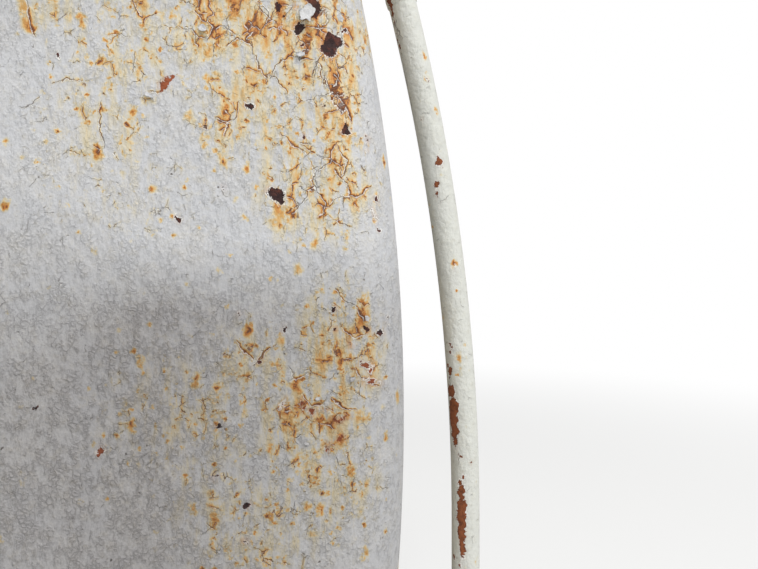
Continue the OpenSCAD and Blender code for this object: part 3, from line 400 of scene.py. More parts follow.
farOutside = 10.0  # added to flakeDepth in millimetres, as a mesh without the field reads as 0
enamelLook = {
    # grime darkens the enamel as dirt, and on the front head and the bar as painted shade too
    "white": "#C5C5C6", "chalk": "#B7B7B8", "cool": "#B9BBC0", "cream": "#D0C092", "grime": "#B9B5B2",
    "dust": "#B0A693", "stain": "#CB9A4C", "orange": "#B76D20", "brown": "#66381A", "crackDark": "#4A413C",
    # litLip is a painted highlight on the lifted lips of the enamel, where the paint is also a little cleaner
    "litLip": "#ECEAE5", "scale": "#2C1615", "scaleRed": "#5A2E22", "primer": "#96502F",
    "roughness": 0.62, "bareRoughness": 0.88,
    # sizes of the patterns in millimetres
    "grain": 0.7, "pit": 1.9, "speckle": 2.6, "fineCell": 2.7, "wrinkle": 3.4, "dots": 4.6, "smear": 4.6,
    "splitZone": 5.0, "splitCell": 5.6, "threads": 8.0, "freckles": 9.0, "specks": 9.5, "mottle": 15.0,
    "flake": 30.0, "runs": 30.0, "brokenEdge": 45.0, "brokenRun": 90.0, "patches": 110.0, "slow": 420.0,
}
# how far each thing stands out of the enamel, in metres: the coat is a quarter of a millimetre thick
enamelRelief = {
    "grain": 0.00004, "wrinkle": 0.0011, "speckle": 0.00030, "rim": 0.00013, "dirtyRim": 0.00008,
    "craze": -0.00011, "split": -0.00025, "litLip": 0.00022, "gone": -0.00025, "scale": 0.0004,
}


def enamelFinish(name, wear=0.5, runs=0.5, soil=0.3, craze=1.0, fall=(1.0, 1.0, 0.1), look=enamelLook,
                 surface=None, runsFrom=(), rustAlong=()):
    # fall squeezes the long stains along the way that water runs over the piece; runsFrom lists what it
    # runs from, as (across, half width, start, reach, strength), and rustAlong the seams that rust
    material, tree = startMaterial(name)
    place = addNode(tree, "TexCoord").outputs["Object"]

    def node(kind, inputs=None, **settings):
        return addNode(tree, kind, inputs, **settings)

    def field(label):
        return node("Attribute", attribute_name=label).outputs["Fac"]

    def calc(operation, *values, clamp=False):
        return node("Math", dict(enumerate(values)), operation=operation, use_clamp=clamp)

    def ramp(value, low, high, start=0.0, end=1.0):
        limits = {"Value": value, "From Min": low, "From Max": high, "To Min": start, "To Max": end}
        return node("MapRange", limits, interpolation_type="SMOOTHSTEP")

    def blend(amount, under, over, how="MIX"):
        over = toLinear(look[over]) if isinstance(over, str) else over
        return node("Mix", {0: amount, "A": under, "B": over}, data_type="RGBA", blend_type=how)

    def cloud(size, where=place, detail=4.0, rough=0.6):
        # a noise whose lumps are about this many millimetres across
        inputs = {"Vector": where, "Scale": 1 / (size * mm), "Detail": detail, "Roughness": rough}
        return node("TexNoise", inputs)

    def cells(size, where, feature="DISTANCE_TO_EDGE"):
        return node("TexVoronoi", {"Vector": where, "Scale": 1 / (size * mm)}, feature=feature)

    def shaken(size, reach, where=place):
        # the place moved about by a noise of this size, so that cells lose their straight edges
        push = cloud(size, detail=2.0).outputs["Color"]
        centred = node("VectorMath", {0: push, 1: (0.5, 0.5, 0.5)}, operation="SUBTRACT")
        return node("VectorMath", {0: centred, 1: (reach * mm,) * 3, 2: where}, operation="MULTIPLY_ADD")

    def stretched(scale):
        return node("Mapping", {"Vector": place, "Scale": scale})

    # patterns from grains to patches
    grain = cloud(look["grain"], detail=2.0, rough=0.7)
    speckle = cloud(look["speckle"], detail=4.0, rough=0.65)
    wrinkle = cloud(look["wrinkle"], stretched((1.0, 1.0, 0.6)), detail=4.0, rough=0.62)
    mottle = cloud(look["mottle"], detail=5.0, rough=0.62)
    patches = cloud(look["patches"], detail=6.0, rough=0.6)
    slow = cloud(look["slow"], detail=3.0)
    smear = cloud(look["smear"], stretched((1.0, 1.0, 0.25)), detail=6.0, rough=0.68)
    lengthy = cloud(look["runs"], stretched(fall), detail=6.0, rough=0.62)
    jittered = shaken(2.0, 1.6)
    pitEdge = cells(look["pit"], shaken(1.1, 1.1, jittered))
    splitEdge = cells(look["splitCell"], jittered)
    # the same cells moved a little, for a painted highlight along one side of each split
    lipPlace = node("VectorMath", {0: jittered, 1: (0.00012, 0.0, 0.0003)}, operation="ADD")
    splitLip = cells(look["splitCell"], lipPlace)
    fineEdge = cells(look["fineCell"], jittered)
    specks = cells(look["specks"], jittered, "F1")
    hung = node("Mapping", {"Vector": shaken(3.0, 4.5), "Scale": (1.0, 1.0, 0.6)})
    freckles = cells(look["freckles"], hung, "F1")
    dots = cells(look["dots"], shaken(1.4, 2.4), "F1")

    # how far the wear has gone here: from the mesh in the close-up, from slow noise elsewhere
    seen = field("seen")
    unseen = calc("SUBTRACT", 1.0, seen)
    wide = calc("MULTIPLY_ADD", slow, 0.5, patches)
    zoneNoise = ramp(wide, 0.88 - 0.25 * wear, 1.02 - 0.2 * wear)
    streak = 0.0
    if surface:
        where = node("SeparateXYZ", {0: place})
        above = calc("SUBTRACT", where.outputs["Z"], axisHeight)
        if surface == "shell":
            across, side = where.outputs["Y"], calc("SIGN", where.outputs["X"])
            fromTop = calc("ARCTAN2", calc("ABSOLUTE", where.outputs["X"]), above)
            down = calc("MULTIPLY", fromTop, tankRadius)
            edge = 9.0
            for seam in rustAlong:
                edge = calc("MINIMUM", calc("ABSOLUTE", calc("SUBTRACT", across, seam)), edge)
        else:
            across, side = where.outputs["X"], calc("SIGN", where.outputs["Y"])
            down = calc("MULTIPLY", above, -1.0)
            squares = [calc("POWER", calc("ABSOLUTE", value), 2.0) for value in (across, above)]
            edge = calc("SUBTRACT", tankRadius, calc("SQRT", calc("ADD", *squares)))
        drawnOut = node("CombineXYZ", {"X": side, "Y": across, "Z": calc("MULTIPLY", down, 0.03)})
        threads = cloud(look["threads"], drawnOut, detail=5.0, rough=0.7)
        for middle, half, start, reach, strength in runsFrom:
            aside = calc("ABSOLUTE", calc("SUBTRACT", across, middle))
            inRun = calc("MULTIPLY", ramp(aside, half * 0.7, half * 1.5 + 0.004, strength, 0.0),
                         ramp(down, start, start + reach, 1.0, 0.0))
            inRun = calc("MULTIPLY", inRun, calc("GREATER_THAN", down, start - 0.01))
            streak = calc("MAXIMUM", streak, inRun)
        streak = calc("MULTIPLY", streak, ramp(threads, 0.40, 0.66, 0.05, 0.9))
        streak = calc("MULTIPLY", streak, ramp(cloud(look["brokenRun"], detail=4.0), 0.36, 0.60, 0.25, 0.95))
        # rust starts at rims and seams, and is rarer in the middle of a plate
        broken = ramp(cloud(look["brokenEdge"], detail=4.0), 0.44, 0.58)
        nearEdge = calc("MULTIPLY", ramp(edge, 0.004, 0.06, 1.0, 0.0), broken)
        zoneNoise = calc("MULTIPLY", zoneNoise, ramp(edge, 0.05, 0.5, 1.0, 0.35))
        zoneNoise = calc("MAXIMUM", zoneNoise, nearEdge)
    zone = calc("MAXIMUM", field("rustArea"), calc("MULTIPLY", zoneNoise, unseen))
    faceUp = node("SeparateXYZ", {0: node("NewGeometry").outputs["Normal"]}).outputs["Z"]
    belly = ramp(calc("MULTIPLY_ADD", patches, 0.5, faceUp), -0.45, 0.35, soil, 0.0)
    dusty = calc("MULTIPLY", ramp(calc("MULTIPLY_ADD", mottle, 0.6, faceUp), 0.7, 1.35, 0.0, 0.7), unseen)
    dirty = calc("MULTIPLY", calc("MAXIMUM", belly, ramp(wide, 0.6, 1.0, 0.0, soil)), unseen)
    # the front head and the bar bring a mask of their own, which is partly painted shade; elsewhere this is
    # dirt alone
    grime = calc("MAXIMUM", field("grime"), dirty)

    # the enamel itself, crazed into cells whose rims curl up
    crazed = calc("MULTIPLY", ramp(calc("MULTIPLY_ADD", grime, 0.05, wrinkle), 0.43, 0.64), craze)
    rim = calc("MULTIPLY", ramp(pitEdge, 0.03, 0.30, 1.0, 0.0), crazed)
    crazeLine = calc("MULTIPLY", ramp(pitEdge, 0.008, 0.045, 1.0, 0.0), crazed)
    body = blend(ramp(grain, 0.34, 0.66), toLinear(look["chalk"]), "white")
    body = blend(ramp(mottle, 0.40, 0.60, 0.0, 0.45), body, "cool")
    body = blend(ramp(speckle, 0.46, 0.72, 0.0, calc("MULTIPLY_ADD", zone, 0.45, 0.10)), body, "cream")
    body = blend(calc("MULTIPLY", crazeLine, calc("MULTIPLY_ADD", grime, 0.20, 0.12)), body, "crackDark")
    body = blend(dusty, body, "dust")
    speckOn = calc("MULTIPLY", ramp(specks.outputs["Distance"], 0.030, 0.052, 0.85, 0.0),
                   ramp(specks.outputs["Color"], 0.50, 0.52))
    body = blend(speckOn, body, "crackDark")

    # how rusty it is: areas that let rust through, single spots, and what has run down from them
    level = calc("MULTIPLY_ADD", calc("SUBTRACT", mottle, 0.5), 1.4, 0.38)
    level = calc("MULTIPLY_ADD", calc("SUBTRACT", smear, 0.5), 3.4, level)
    level = calc("MULTIPLY", level, calc("POWER", zone, 1.15))
    uneven = ramp(calc("MULTIPLY_ADD", speckle, 0.6, calc("MULTIPLY", smear, 0.6)), 0.46, 0.68, 0.30, 1.2)
    spotted = field("rustBlot")
    for spots, reach, gain, rare in ((freckles, 0.30, 0.6, 0.60), (dots, 0.34, 0.7, 0.78)):
        near = ramp(spots.outputs["Distance"], 0.0, reach, 1.0, 0.0)
        chosen = ramp(calc("MULTIPLY_ADD", zone, gain, spots.outputs["Color"]), rare, rare + 0.20)
        spotted = calc("MAXIMUM", spotted, calc("MULTIPLY", near, chosen))
    level = calc("MAXIMUM", level, calc("MULTIPLY", spotted, uneven))
    runMask = ramp(lengthy, 0.68 - 0.15 * runs, 0.88 - 0.10 * runs, 0.0, 0.8)
    level = calc("MAXIMUM", level, calc("MULTIPLY", calc("MAXIMUM", runMask, streak), unseen))

    # splits: a net of thin broken lines, denser and longer where it is rusty, and the listed ones
    onset = calc("MULTIPLY_ADD", zone, 0.16, cloud(look["splitZone"], detail=3.0, rough=0.7))
    netWidth = calc("MINIMUM", calc("MULTIPLY", calc("SUBTRACT", onset, 0.590), 0.30),
                    calc("MULTIPLY_ADD", zone, 0.014, 0.016))
    netCore = calc("MULTIPLY", calc("SUBTRACT", netWidth, splitEdge), 60.0, clamp=True)
    litLipCore = calc("MULTIPLY", calc("SUBTRACT", netWidth, splitLip), 50.0, clamp=True)
    fineOnset = calc("MULTIPLY_ADD", zone, 0.13, speckle)
    fineWidth = calc("MINIMUM", calc("MULTIPLY", calc("SUBTRACT", fineOnset, 0.60), 0.40), 0.035)
    fineCore = calc("MULTIPLY", calc("SUBTRACT", fineWidth, fineEdge), 32.0, clamp=True)
    handSide = calc("MULTIPLY_ADD", calc("SUBTRACT", speckle, 0.5), 2.2, field("splitSide"))
    handOn = ramp(field("splitNear"), 0.35, 0.75)
    handAway = calc("ABSOLUTE", handSide)
    handCore = calc("MULTIPLY", ramp(handAway, 0.05, 0.22, 1.0, 0.0),
                    calc("MULTIPLY", handOn, ramp(mottle, 0.36, 0.50, 0.35, 1.0)))
    # the listed splits get a pale lip on one side too: painted highlight
    lipAway = calc("ABSOLUTE", calc("SUBTRACT", handSide, 0.32))
    handLitLip = calc("MULTIPLY", ramp(lipAway, 0.05, 0.22, 1.0, 0.0), handOn)
    netOn = calc("MULTIPLY", netWidth, 38.0, clamp=True)
    nearNet = calc("MULTIPLY", ramp(splitEdge, 0.0, 0.20, 1.0, 0.0), netOn)
    nearHand = calc("MULTIPLY", ramp(handAway, 0.0, 1.1, 1.0, 0.0), handOn)
    seep = calc("MULTIPLY", calc("MAXIMUM", nearNet, nearHand), ramp(smear, 0.38, 0.60, 0.05, 0.9))
    level = calc("MULTIPLY_ADD", calc("MULTIPLY", seep, ramp(zone, 0.0, 0.5, 0.12, 1.0)), 0.75, level)

    for low, high, share, tint in ((0.05, 0.40, 0.72, "cream"), (0.26, 0.66, 0.86, "stain"),
                                   (0.56, 0.94, 0.90, "orange")):
        body = blend(ramp(level, low, high, 0.0, share), body, tint)
    level = calc("MULTIPLY", level, ramp(grain, 0.35, 0.60, 0.85, 1.12))
    body = blend(ramp(level, 0.88, 1.10, 0.0, 0.90), body, "brown")
    # painted highlight: a pale lip beside each split, on one side only, as if lit from above, over enamel
    # that is a little cleaner there
    litLip = calc("MAXIMUM", calc("MULTIPLY", litLipCore, 0.65), calc("MULTIPLY", handLitLip, 0.80))
    body = blend(litLip, body, "litLip")
    core = calc("MAXIMUM", calc("MAXIMUM", netCore, calc("MULTIPLY", fineCore, 0.6)), handCore)
    coreTint = blend(ramp(level, 0.10, 0.50), toLinear(look["crackDark"]), "brown")
    body = blend(calc("MULTIPLY", core, ramp(level, 0.0, 0.5, 0.6, 0.9)), body, coreTint)

    # places where the enamel is gone: scale over pitted plate
    torn = calc("MULTIPLY", calc("SUBTRACT", speckle, 0.5), 4.0)
    torn = calc("MULTIPLY_ADD", calc("SUBTRACT", grain, 0.5), 1.2, torn)
    flakeDepth = calc("ADD", calc("SUBTRACT", field("flakeDepth"), farOutside), torn)
    bareNoise = cloud(look["flake"], detail=6.0, rough=0.58)
    bareSlow = calc("SUBTRACT", calc("MULTIPLY_ADD", wide, 0.35, bareNoise), 1.08 - 0.12 * wear)
    bareDepth = calc("MULTIPLY", calc("SUBTRACT", bareSlow, calc("MULTIPLY", seen, 0.4)), 60.0)
    goneDepth = calc("MAXIMUM", flakeDepth, bareDepth)
    gone = ramp(goneDepth, 0.0, 0.12)
    rusted = calc("MULTIPLY", ramp(smear, 0.42, 0.60, 0.0, 0.85), zone)
    ringed = calc("MULTIPLY", ramp(goneDepth, -1.6, 0.0), rusted)
    body = blend(ringed, body, "orange")
    # painted highlight: a pale rim just outside where the enamel has gone, as on curled edges, over paint
    # that is partly cleaner
    curledLitRim = calc("MULTIPLY", ramp(goneDepth, -0.55, -0.10), ramp(mottle, 0.46, 0.56, 0.0, 0.85))
    body = blend(curledLitRim, body, "litLip")
    scaleTint = blend(ramp(speckle, 0.48, 0.68), toLinear(look["scale"]), "scaleRed")
    thin = calc("MAXIMUM", field("redness"), calc("MULTIPLY", unseen, ramp(mottle, 0.44, 0.60)))
    scaleTint = blend(calc("MULTIPLY", thin, ramp(speckle, 0.36, 0.56, 0.55, 1.0)), scaleTint, "primer")
    body = blend(gone, body, scaleTint)
    # everything is darkened by that mask at the end: dirt, and on the front head and the bar painted shade as
    # well
    body = blend(calc("MULTIPLY", grime, ramp(wrinkle, 0.36, 0.60, 0.85, 1.0)), body, "grime", "MULTIPLY")

    relief = calc("MULTIPLY", grain, enamelRelief["grain"])
    rimHeight = calc("MULTIPLY_ADD", grime, enamelRelief["dirtyRim"], enamelRelief["rim"])
    for mask, height in (
        (wrinkle, enamelRelief["wrinkle"]), (speckle, enamelRelief["speckle"]), (rim, rimHeight),
        (crazeLine, enamelRelief["craze"]), (core, enamelRelief["split"]),
        (calc("MAXIMUM", litLip, curledLitRim), enamelRelief["litLip"]), (gone, enamelRelief["gone"]),
        (calc("MULTIPLY", gone, speckle), enamelRelief["scale"]),
    ):
        relief = calc("MULTIPLY_ADD", mask, height, relief)
    bump = node("Bump", {"Strength": 1.0, "Distance": 1.0, "Height": relief})
    roughness = ramp(gone, 0.0, 1.0, look["roughness"], look["bareRoughness"])
    shader = node("BsdfPrincipled", {"Base Color": body, "Roughness": roughness, "Normal": bump})
    node("OutputMaterial", {"Surface": shader})
    return material


# what stands on the tank: its place across, half width, where the run starts, its reach and strength
nozzleRun = (0.0, 0.05, 0.66, 0.15, 1.0)
frontRuns = [
    nozzleRun, (-0.26, 0.020, -0.44, 0.42, 0.9), (-0.26, 0.020, 0.46, 0.26, 0.9),
    (0.33, 0.03, -0.70, 0.5, 0.6), (0.12, 0.02, -0.80, 0.6, 0.7), (-0.45, 0.04, -0.66, 0.45, 0.7),
    (0.52, 0.05, -0.61, 0.3, 0.6),
]
rearRuns = [
    nozzleRun, (0.20, 0.03, -0.78, 0.5, 0.7), (-0.28, 0.05, -0.75, 0.6, 0.7), (-0.55, 0.03, -0.59, 0.4, 0.6),
    (0.5, 0.04, -0.63, 0.35, 0.6),
]
shellRuns = [
    (-1.08, 0.055, 0.0, 0.9, 0.9), (-0.78, 0.034, 0.03, 1.2, 1.0), (-0.50, 0.018, 0.02, 0.7, 0.8),
    (-0.20, 0.030, 0.03, 1.0, 0.9), (0.36, 0.020, 0.26, 0.6, 0.8), (0.47, 0.030, 0.30, 1.0, 1.0),
    (0.62, 0.020, 0.31, 0.8, 0.9), (0.73, 0.035, 0.27, 1.1, 0.9), (1.08, 0.055, 0.0, 0.9, 0.9),
    (-0.006, 0.020, 0.3, 1.6, 0.7), (-1.30, 0.025, 0.2, 1.8, 0.9), (1.30, 0.025, 0.2, 1.8, 0.9),
]
girthSeams = [-1.3295, 0.0, 1.3295]  # where the girth welds run, along the tank
# the bar was brushed with a creamier enamel, which holds better than the tank's
barLook = {**enamelLook, "white": "#D0D1CB", "chalk": "#C8C9C2", "cool": "#CBCCC7", "cream": "#CDC6AC",
           "grime": "#B4AE98", "primer": "#8C4E29"}
plateWear = {"wear": 0.45, "runs": 0.40, "soil": 0.35, "fall": (1.0, 1.0, 0.09), "surface": "head"}
enamelPieces = {
    # flat plate in the weather: chalky, crazed, rust in broad areas
    "chalkyWhiteEnamelOnHeadPlate": {**plateWear, "runsFrom": frontRuns},
    "chalkyWhiteEnamelOnRearPlate": {**plateWear, "runsFrom": rearRuns},
    # smooth, with long chips down to red primer
    "brushedWhiteEnamelOnBar": {"wear": 0.30, "runs": 0.30, "soil": 0.25, "fall": (1.0, 1.0, 0.09),
                                "craze": 0.15, "look": barLook},
    # dusty on top, streaked down its sides, dark underneath
    "chalkyWhiteEnamelOnShellPlate": {"wear": 0.42, "runs": 0.35, "soil": 0.45, "fall": (0.12, 1.0, 0.12),
                                      "surface": "shell", "rustAlong": girthSeams, "runsFrom": shellRuns},
    # knocked about, so chipped to rust at its edges
    "chippedWhiteEnamelOnFittings": {"wear": 0.55, "runs": 0.50, "soil": 0.40, "fall": (1.0, 1.0, 0.14)},
    # splashed with mud and half rusted
    "rustyWhiteEnamelOnSupports": {"wear": 0.75, "runs": 0.65, "soil": 0.75, "fall": (1.0, 1.0, 0.14)},
}
enamels = [enamelFinish(name, **settings) for name, settings in enamelPieces.items()]
headEnamel, rearEnamel, barEnamel, shellEnamel, fittingEnamel, supportEnamel = enamels
print("stage: enamel made")


# Heads: flat plate with a knuckle and a short flange, butt-welded to the shell

headShape = {
    "plate": 0.008, "knuckle": 0.022, "flange": 0.020,
    "ring": 0.084, "outerRing": 0.03, "fineFrom": 0.672, "fineRing": 0.0008,  # steps across the face
    "seenFrom": -4.2, "seenTo": 11.6, "seenStep": 0.062, "coarseStep": 3.0,  # steps around it, in degrees
    "fadeTurn": 0.8, "fadeWidth": 6.0,  # how the drawn wear fades at its edges, in degrees and millimetres
    "seamGap": 0.00004,
}


def headProfile(shape, fine):
    # from the middle of the face out over the knuckle, and back along the inside, as (radius, depth)
    radius, plate, knuckle = tankRadius, shape["plate"], shape["knuckle"]
    flat, inner, rim = radius - knuckle, knuckle - plate, knuckle + shape["flange"]
    rings = steppedTo(0.0, shape["fineFrom"], shape["ring"])
    rings += steppedTo(shape["fineFrom"], flat, shape["fineRing" if fine else "outerRing"])[1:]
    outline = [(r, 0.0) for r in rings]
    for degrees in steppedTo(0.0, 90.0, 2.8 if fine else 10.0)[1:]:
        turn = math.radians(degrees)
        outline.append((flat + knuckle * math.sin(turn), knuckle * (1 - math.cos(turn))))
    outline += [(radius, rim), (radius - plate, rim), (radius - plate, knuckle)]
    for degrees in steppedTo(0.0, 90.0, 15.0)[1:]:
        turn = math.radians(degrees)
        outline.append((flat + inner * math.cos(turn), knuckle - inner * math.sin(turn)))
    return outline + [(0.0, plate)]


def makeHead(name, node, end, shape, fine):
    # end is -1 for the front head and 1 for the rear one
    bm = bmesh.new()
    start = math.radians(shape["seenFrom"])
    points = []
    for r, depth in headProfile(shape, fine):
        points.append((r * math.cos(start), end * (faceY - depth), axisHeight + r * math.sin(start)))
    chain = drawChain(bm, points)
    axis = (0.0, -1.0, 0.0)
    rest = 360.0
    if fine:
        sweep = shape["seenTo"] - shape["seenFrom"]
        chain = spinChain(bm, chain, tankAxis, axis, math.radians(sweep), round(sweep / shape["seenStep"]))
        rest -= sweep
    spinChain(bm, chain, tankAxis, axis, math.radians(rest), round(rest / shape["coarseStep"]))
    closeShape(bm, shape["seamGap"])
    return finishPiece(name, bm, headEnamel if end < 0 else rearEnamel, node)


frontHead = makeHead("frontHeadPlate", "front_head", -1, headShape, True)
rearHead = makeHead("rearHeadPlate", "rear_head", 1, headShape, False)

# Wear of the seen part of the front head
headPoints = pointsOf(frontHead.data)
headX = headPoints[:, 0] / mm
headZ = (headPoints[:, 2] - axisHeight) / mm
headRadius = np.hypot(headX, headZ)
headAngle = np.degrees(np.arctan2(headZ, headX))
outerFace = headPoints[:, 1] < -faceY + headShape["knuckle"] + 0.012
seenPart = outerFace & (headRadius > headShape["fineFrom"] / mm)
seenPart &= (headAngle > headShape["seenFrom"]) & (headAngle < headShape["seenTo"])
sideFade = np.clip((headAngle - headShape["seenFrom"]) / headShape["fadeTurn"], 0, 1)
sideFade = sideFade * np.clip((headShape["seenTo"] - headAngle) / headShape["fadeTurn"], 0, 1)
innerFade = np.clip((headRadius - headShape["fineFrom"] / mm) / headShape["fadeWidth"], 0, 1)
seenFade = np.where(seenPart, sideFade * innerFade, 0.0)


def shiftedPoints(points, chosen, size, reach):
    # the same points moved by a noise of this size, so that whatever is drawn on them comes out ragged
    moved = np.zeros((len(points), 2))
    for i in np.flatnonzero(chosen):
        push = noise.noise_vector(Vector(points[i]) / (size * mm))
        moved[i] = (push.x * reach, push.z * reach)
    return moved


ragged = shiftedPoints(headPoints, seenPart, 2.2, 0.9) + shiftedPoints(headPoints, seenPart, 1.1, 0.35)
rough = shiftedPoints(headPoints, seenPart, 4.0, 2.4)
tornX, tornZ = headX + ragged[:, 0], headZ + ragged[:, 1]
blurX, blurZ = tornX + rough[:, 0], tornZ + rough[:, 1]

flakeDepth = np.full(headX.shape, -farOutside)
redness = np.zeros(headX.shape)
for outline in flakedSpots.values():
    flakeDepth = np.maximum(flakeDepth, outlineDepth(headX, headZ, outline))
for x, z, width, height, turn in smallFlakes:
    flake = (x, z, max(width, 0.9), max(height, 0.9), turn)
    depth = ovalDepth(headX + ragged[:, 0] * 0.6, headZ + ragged[:, 1] * 0.6, flake)
    flakeDepth = np.maximum(flakeDepth, depth)
for flake in redSlivers:
    depth = ovalDepth(tornX, tornZ, flake)
    redness = np.maximum(redness, np.clip(1.0 + depth, 0, 1))
    flakeDepth = np.maximum(flakeDepth, depth)
flakeDepth = np.where(seenPart, np.clip(flakeDepth, -farOutside, farOutside), -farOutside)
splitSide, splitNear = splitSides(tornX, tornZ, paintSplits)

# the lower half is darker, partly dirt and partly painted shade: a sharp border in the close-up that widens
# across the head
headShadeAndGrime = {"border": 55.0, "sharp": 26.0, "wide": 420.0, "widensFrom": 720.0, "thinsFrom": -45.0,
             "rim": 815.0}
away = np.clip((headShadeAndGrime["widensFrom"] - headX) / 350.0, 0.0, 1.0)
borderWidth = headShadeAndGrime["sharp"] + headShadeAndGrime["wide"] * away
lowShadeAndGrime = np.clip(0.5 + (headShadeAndGrime["border"] - headZ) / borderWidth, 0, 1)
far = np.maximum(away, np.clip((headShadeAndGrime["thinsFrom"] - headZ) / 200.0, 0.0, 1.0))
# the painted shade is deepest to the left and fades towards the rim
leftShadeAndGrime = np.clip((headShadeAndGrime["rim"] - headX) / 90.0, 0.0, 1.0) * (1.0 - far) + 0.6 * far
grime = lowShadeAndGrime * (0.38 + 0.62 * leftShadeAndGrime) * (1.0 - 0.5 * far)
for label, values in (
    ("seen", seenFade), ("flakeDepth", flakeDepth + farOutside), ("redness", redness),
    ("rustArea", np.where(seenPart, areaStrength(headX, headZ, rustAreas), 0.0)),
    ("rustBlot", np.where(seenPart, blotStrength(blurX, blurZ, rustBlots), 0.0)),
    ("splitSide", splitSide), ("splitNear", np.where(seenPart, splitNear, 0.0)),
    ("grime", np.where(outerFace, grime, 0.0)),
):
    writeField(frontHead.data, label, values)


# heights in metres; each noise is given by how many of its lumps there are to the metre
reliefShape = {
    "wave": 0.000125, "waves": 18.0, "blister": 0.00016, "blisters": 260.0, "grain": 0.00003, "grains": 900.0,
    "rim": 0.00010, "rimAt": -0.5, "rimWidth": 0.4, "enamel": 0.00026, "slope": 0.0005,
}


def roughenHead(head, shape):
    # real relief on the fine part: slow waves of the plate, blisters, flakes gone and lifted rims
    zone = np.zeros(len(headX))
    head.data.attributes["rustArea"].data.foreach_get("value", zone)
    moved = headPoints.copy()
    flat = tankRadius - headShape["knuckle"]
    for i in np.flatnonzero(seenFade > 0):
        spot = Vector(headPoints[i])
        rise = shape["wave"] * noise.noise(spot * shape["waves"])
        rise += shape["blister"] * zone[i] * max(0.0, noise.noise(spot * shape["blisters"]))
        rise += shape["grain"] * noise.noise(spot * shape["grains"])
        depth = flakeDepth[i]
        if depth > -0.9:
            rise += shape["rim"] * math.exp(-((depth - shape["rimAt"]) / shape["rimWidth"]) ** 2)
        if depth > 0.0:
            rise -= min(shape["enamel"], shape["slope"] * depth)
        outward = Vector((0.0, -1.0, 0.0))
        bend = max(0.0, headRadius[i] * mm - flat) / headShape["knuckle"]
        if bend > 0.0:
            lean = math.asin(min(1.0, bend))
            around = Vector((headX[i], 0.0, headZ[i])).normalized()
            outward = outward * math.cos(lean) + around * math.sin(lean)
        moved[i] += np.array(outward) * rise * seenFade[i]
    head.data.vertices.foreach_set("co", moved.astype(np.float32).ravel())
    head.data.update()


roughenHead(frontHead, reliefShape)


def makeFlakes(name, flakes, thick=0.00025):
    # each flake is a leaf of enamel that curls away from the plate towards its lower rim
    bm = bmesh.new()
    for i, (x, z, width, height, turn, lift) in enumerate(flakes):
        leaf = bmesh.new()
        bmesh.ops.create_grid(leaf, x_segments=10, y_segments=10, size=1.0)
        for vert in leaf.verts:
            u, v = vert.co.x, vert.co.y
            # the square becomes a rounded leaf with an uneven rim
            squeeze = math.sqrt(max(u * u, v * v) / max(u * u + v * v, 1e-9))
            uneven = 1.0 + 0.45 * noise.noise(Vector((u * 1.6, v * 1.6, 9.0 * i + 0.5)))
            u, v = u * squeeze * uneven, v * squeeze * uneven
            loose = max(0.0, (1.0 - v) / 2)
            away = (0.25 + lift * loose ** 2.2 + 0.12 * noise.noise(Vector((u, v, i)))) * mm
            vert.co = Vector((u * width / 2 * mm, -away, v * height / 2 * mm))
        bmesh.ops.solidify(leaf, geom=leaf.faces[:], thickness=thick)
        closeShape(leaf)
        place = Matrix.Translation((x * mm, -faceY, axisHeight + z * mm))
        addPart(bm, leaf, place @ Matrix.Rotation(math.radians(-turn), 4, "Y"))
    return finishPiece(name, bm, headEnamel, None)


looseEnamel = makeFlakes("looseEnamelFlakes", looseFlakes)
looseHeight = (pointsOf(looseEnamel.data)[:, 2] - axisHeight) / mm
writeField(looseEnamel.data, "seen", np.ones(len(looseHeight)))
# flakes below the border are darkened like the plate there: partly dirt, partly painted shade
writeField(looseEnamel.data, "grime", np.where(looseHeight < headShadeAndGrime["border"], 0.6, 0.0))
print("stage: heads made", len(frontHead.data.polygons), len(rearHead.data.polygons))


# Hoops: one round bar over the tank at each end, its legs through the sleeper

hoopShape = {
    "bar": 0.0130, "inset": 0.062, "standOff": 0.034, "bow": 0.138, "drop": 0.058, "topGap": 0.0003,
    "thread": 0.045, "threadOver": 0.025, "sleeper": 0.150, "sleeperFlange": 0.010,
    "facing": 12.9,  # how far the side that the close-up shows is turned from the front, in degrees
    "fineStep": 0.0009, "step": 0.02, "around": 48, "pitch": 0.00175, "valley": 0.86,
    "weld": [(-0.0005, -0.0045), (0.0006, -0.003), (0.0008, 0.0), (0.0006, 0.003), (-0.0005, 0.0045)],
}


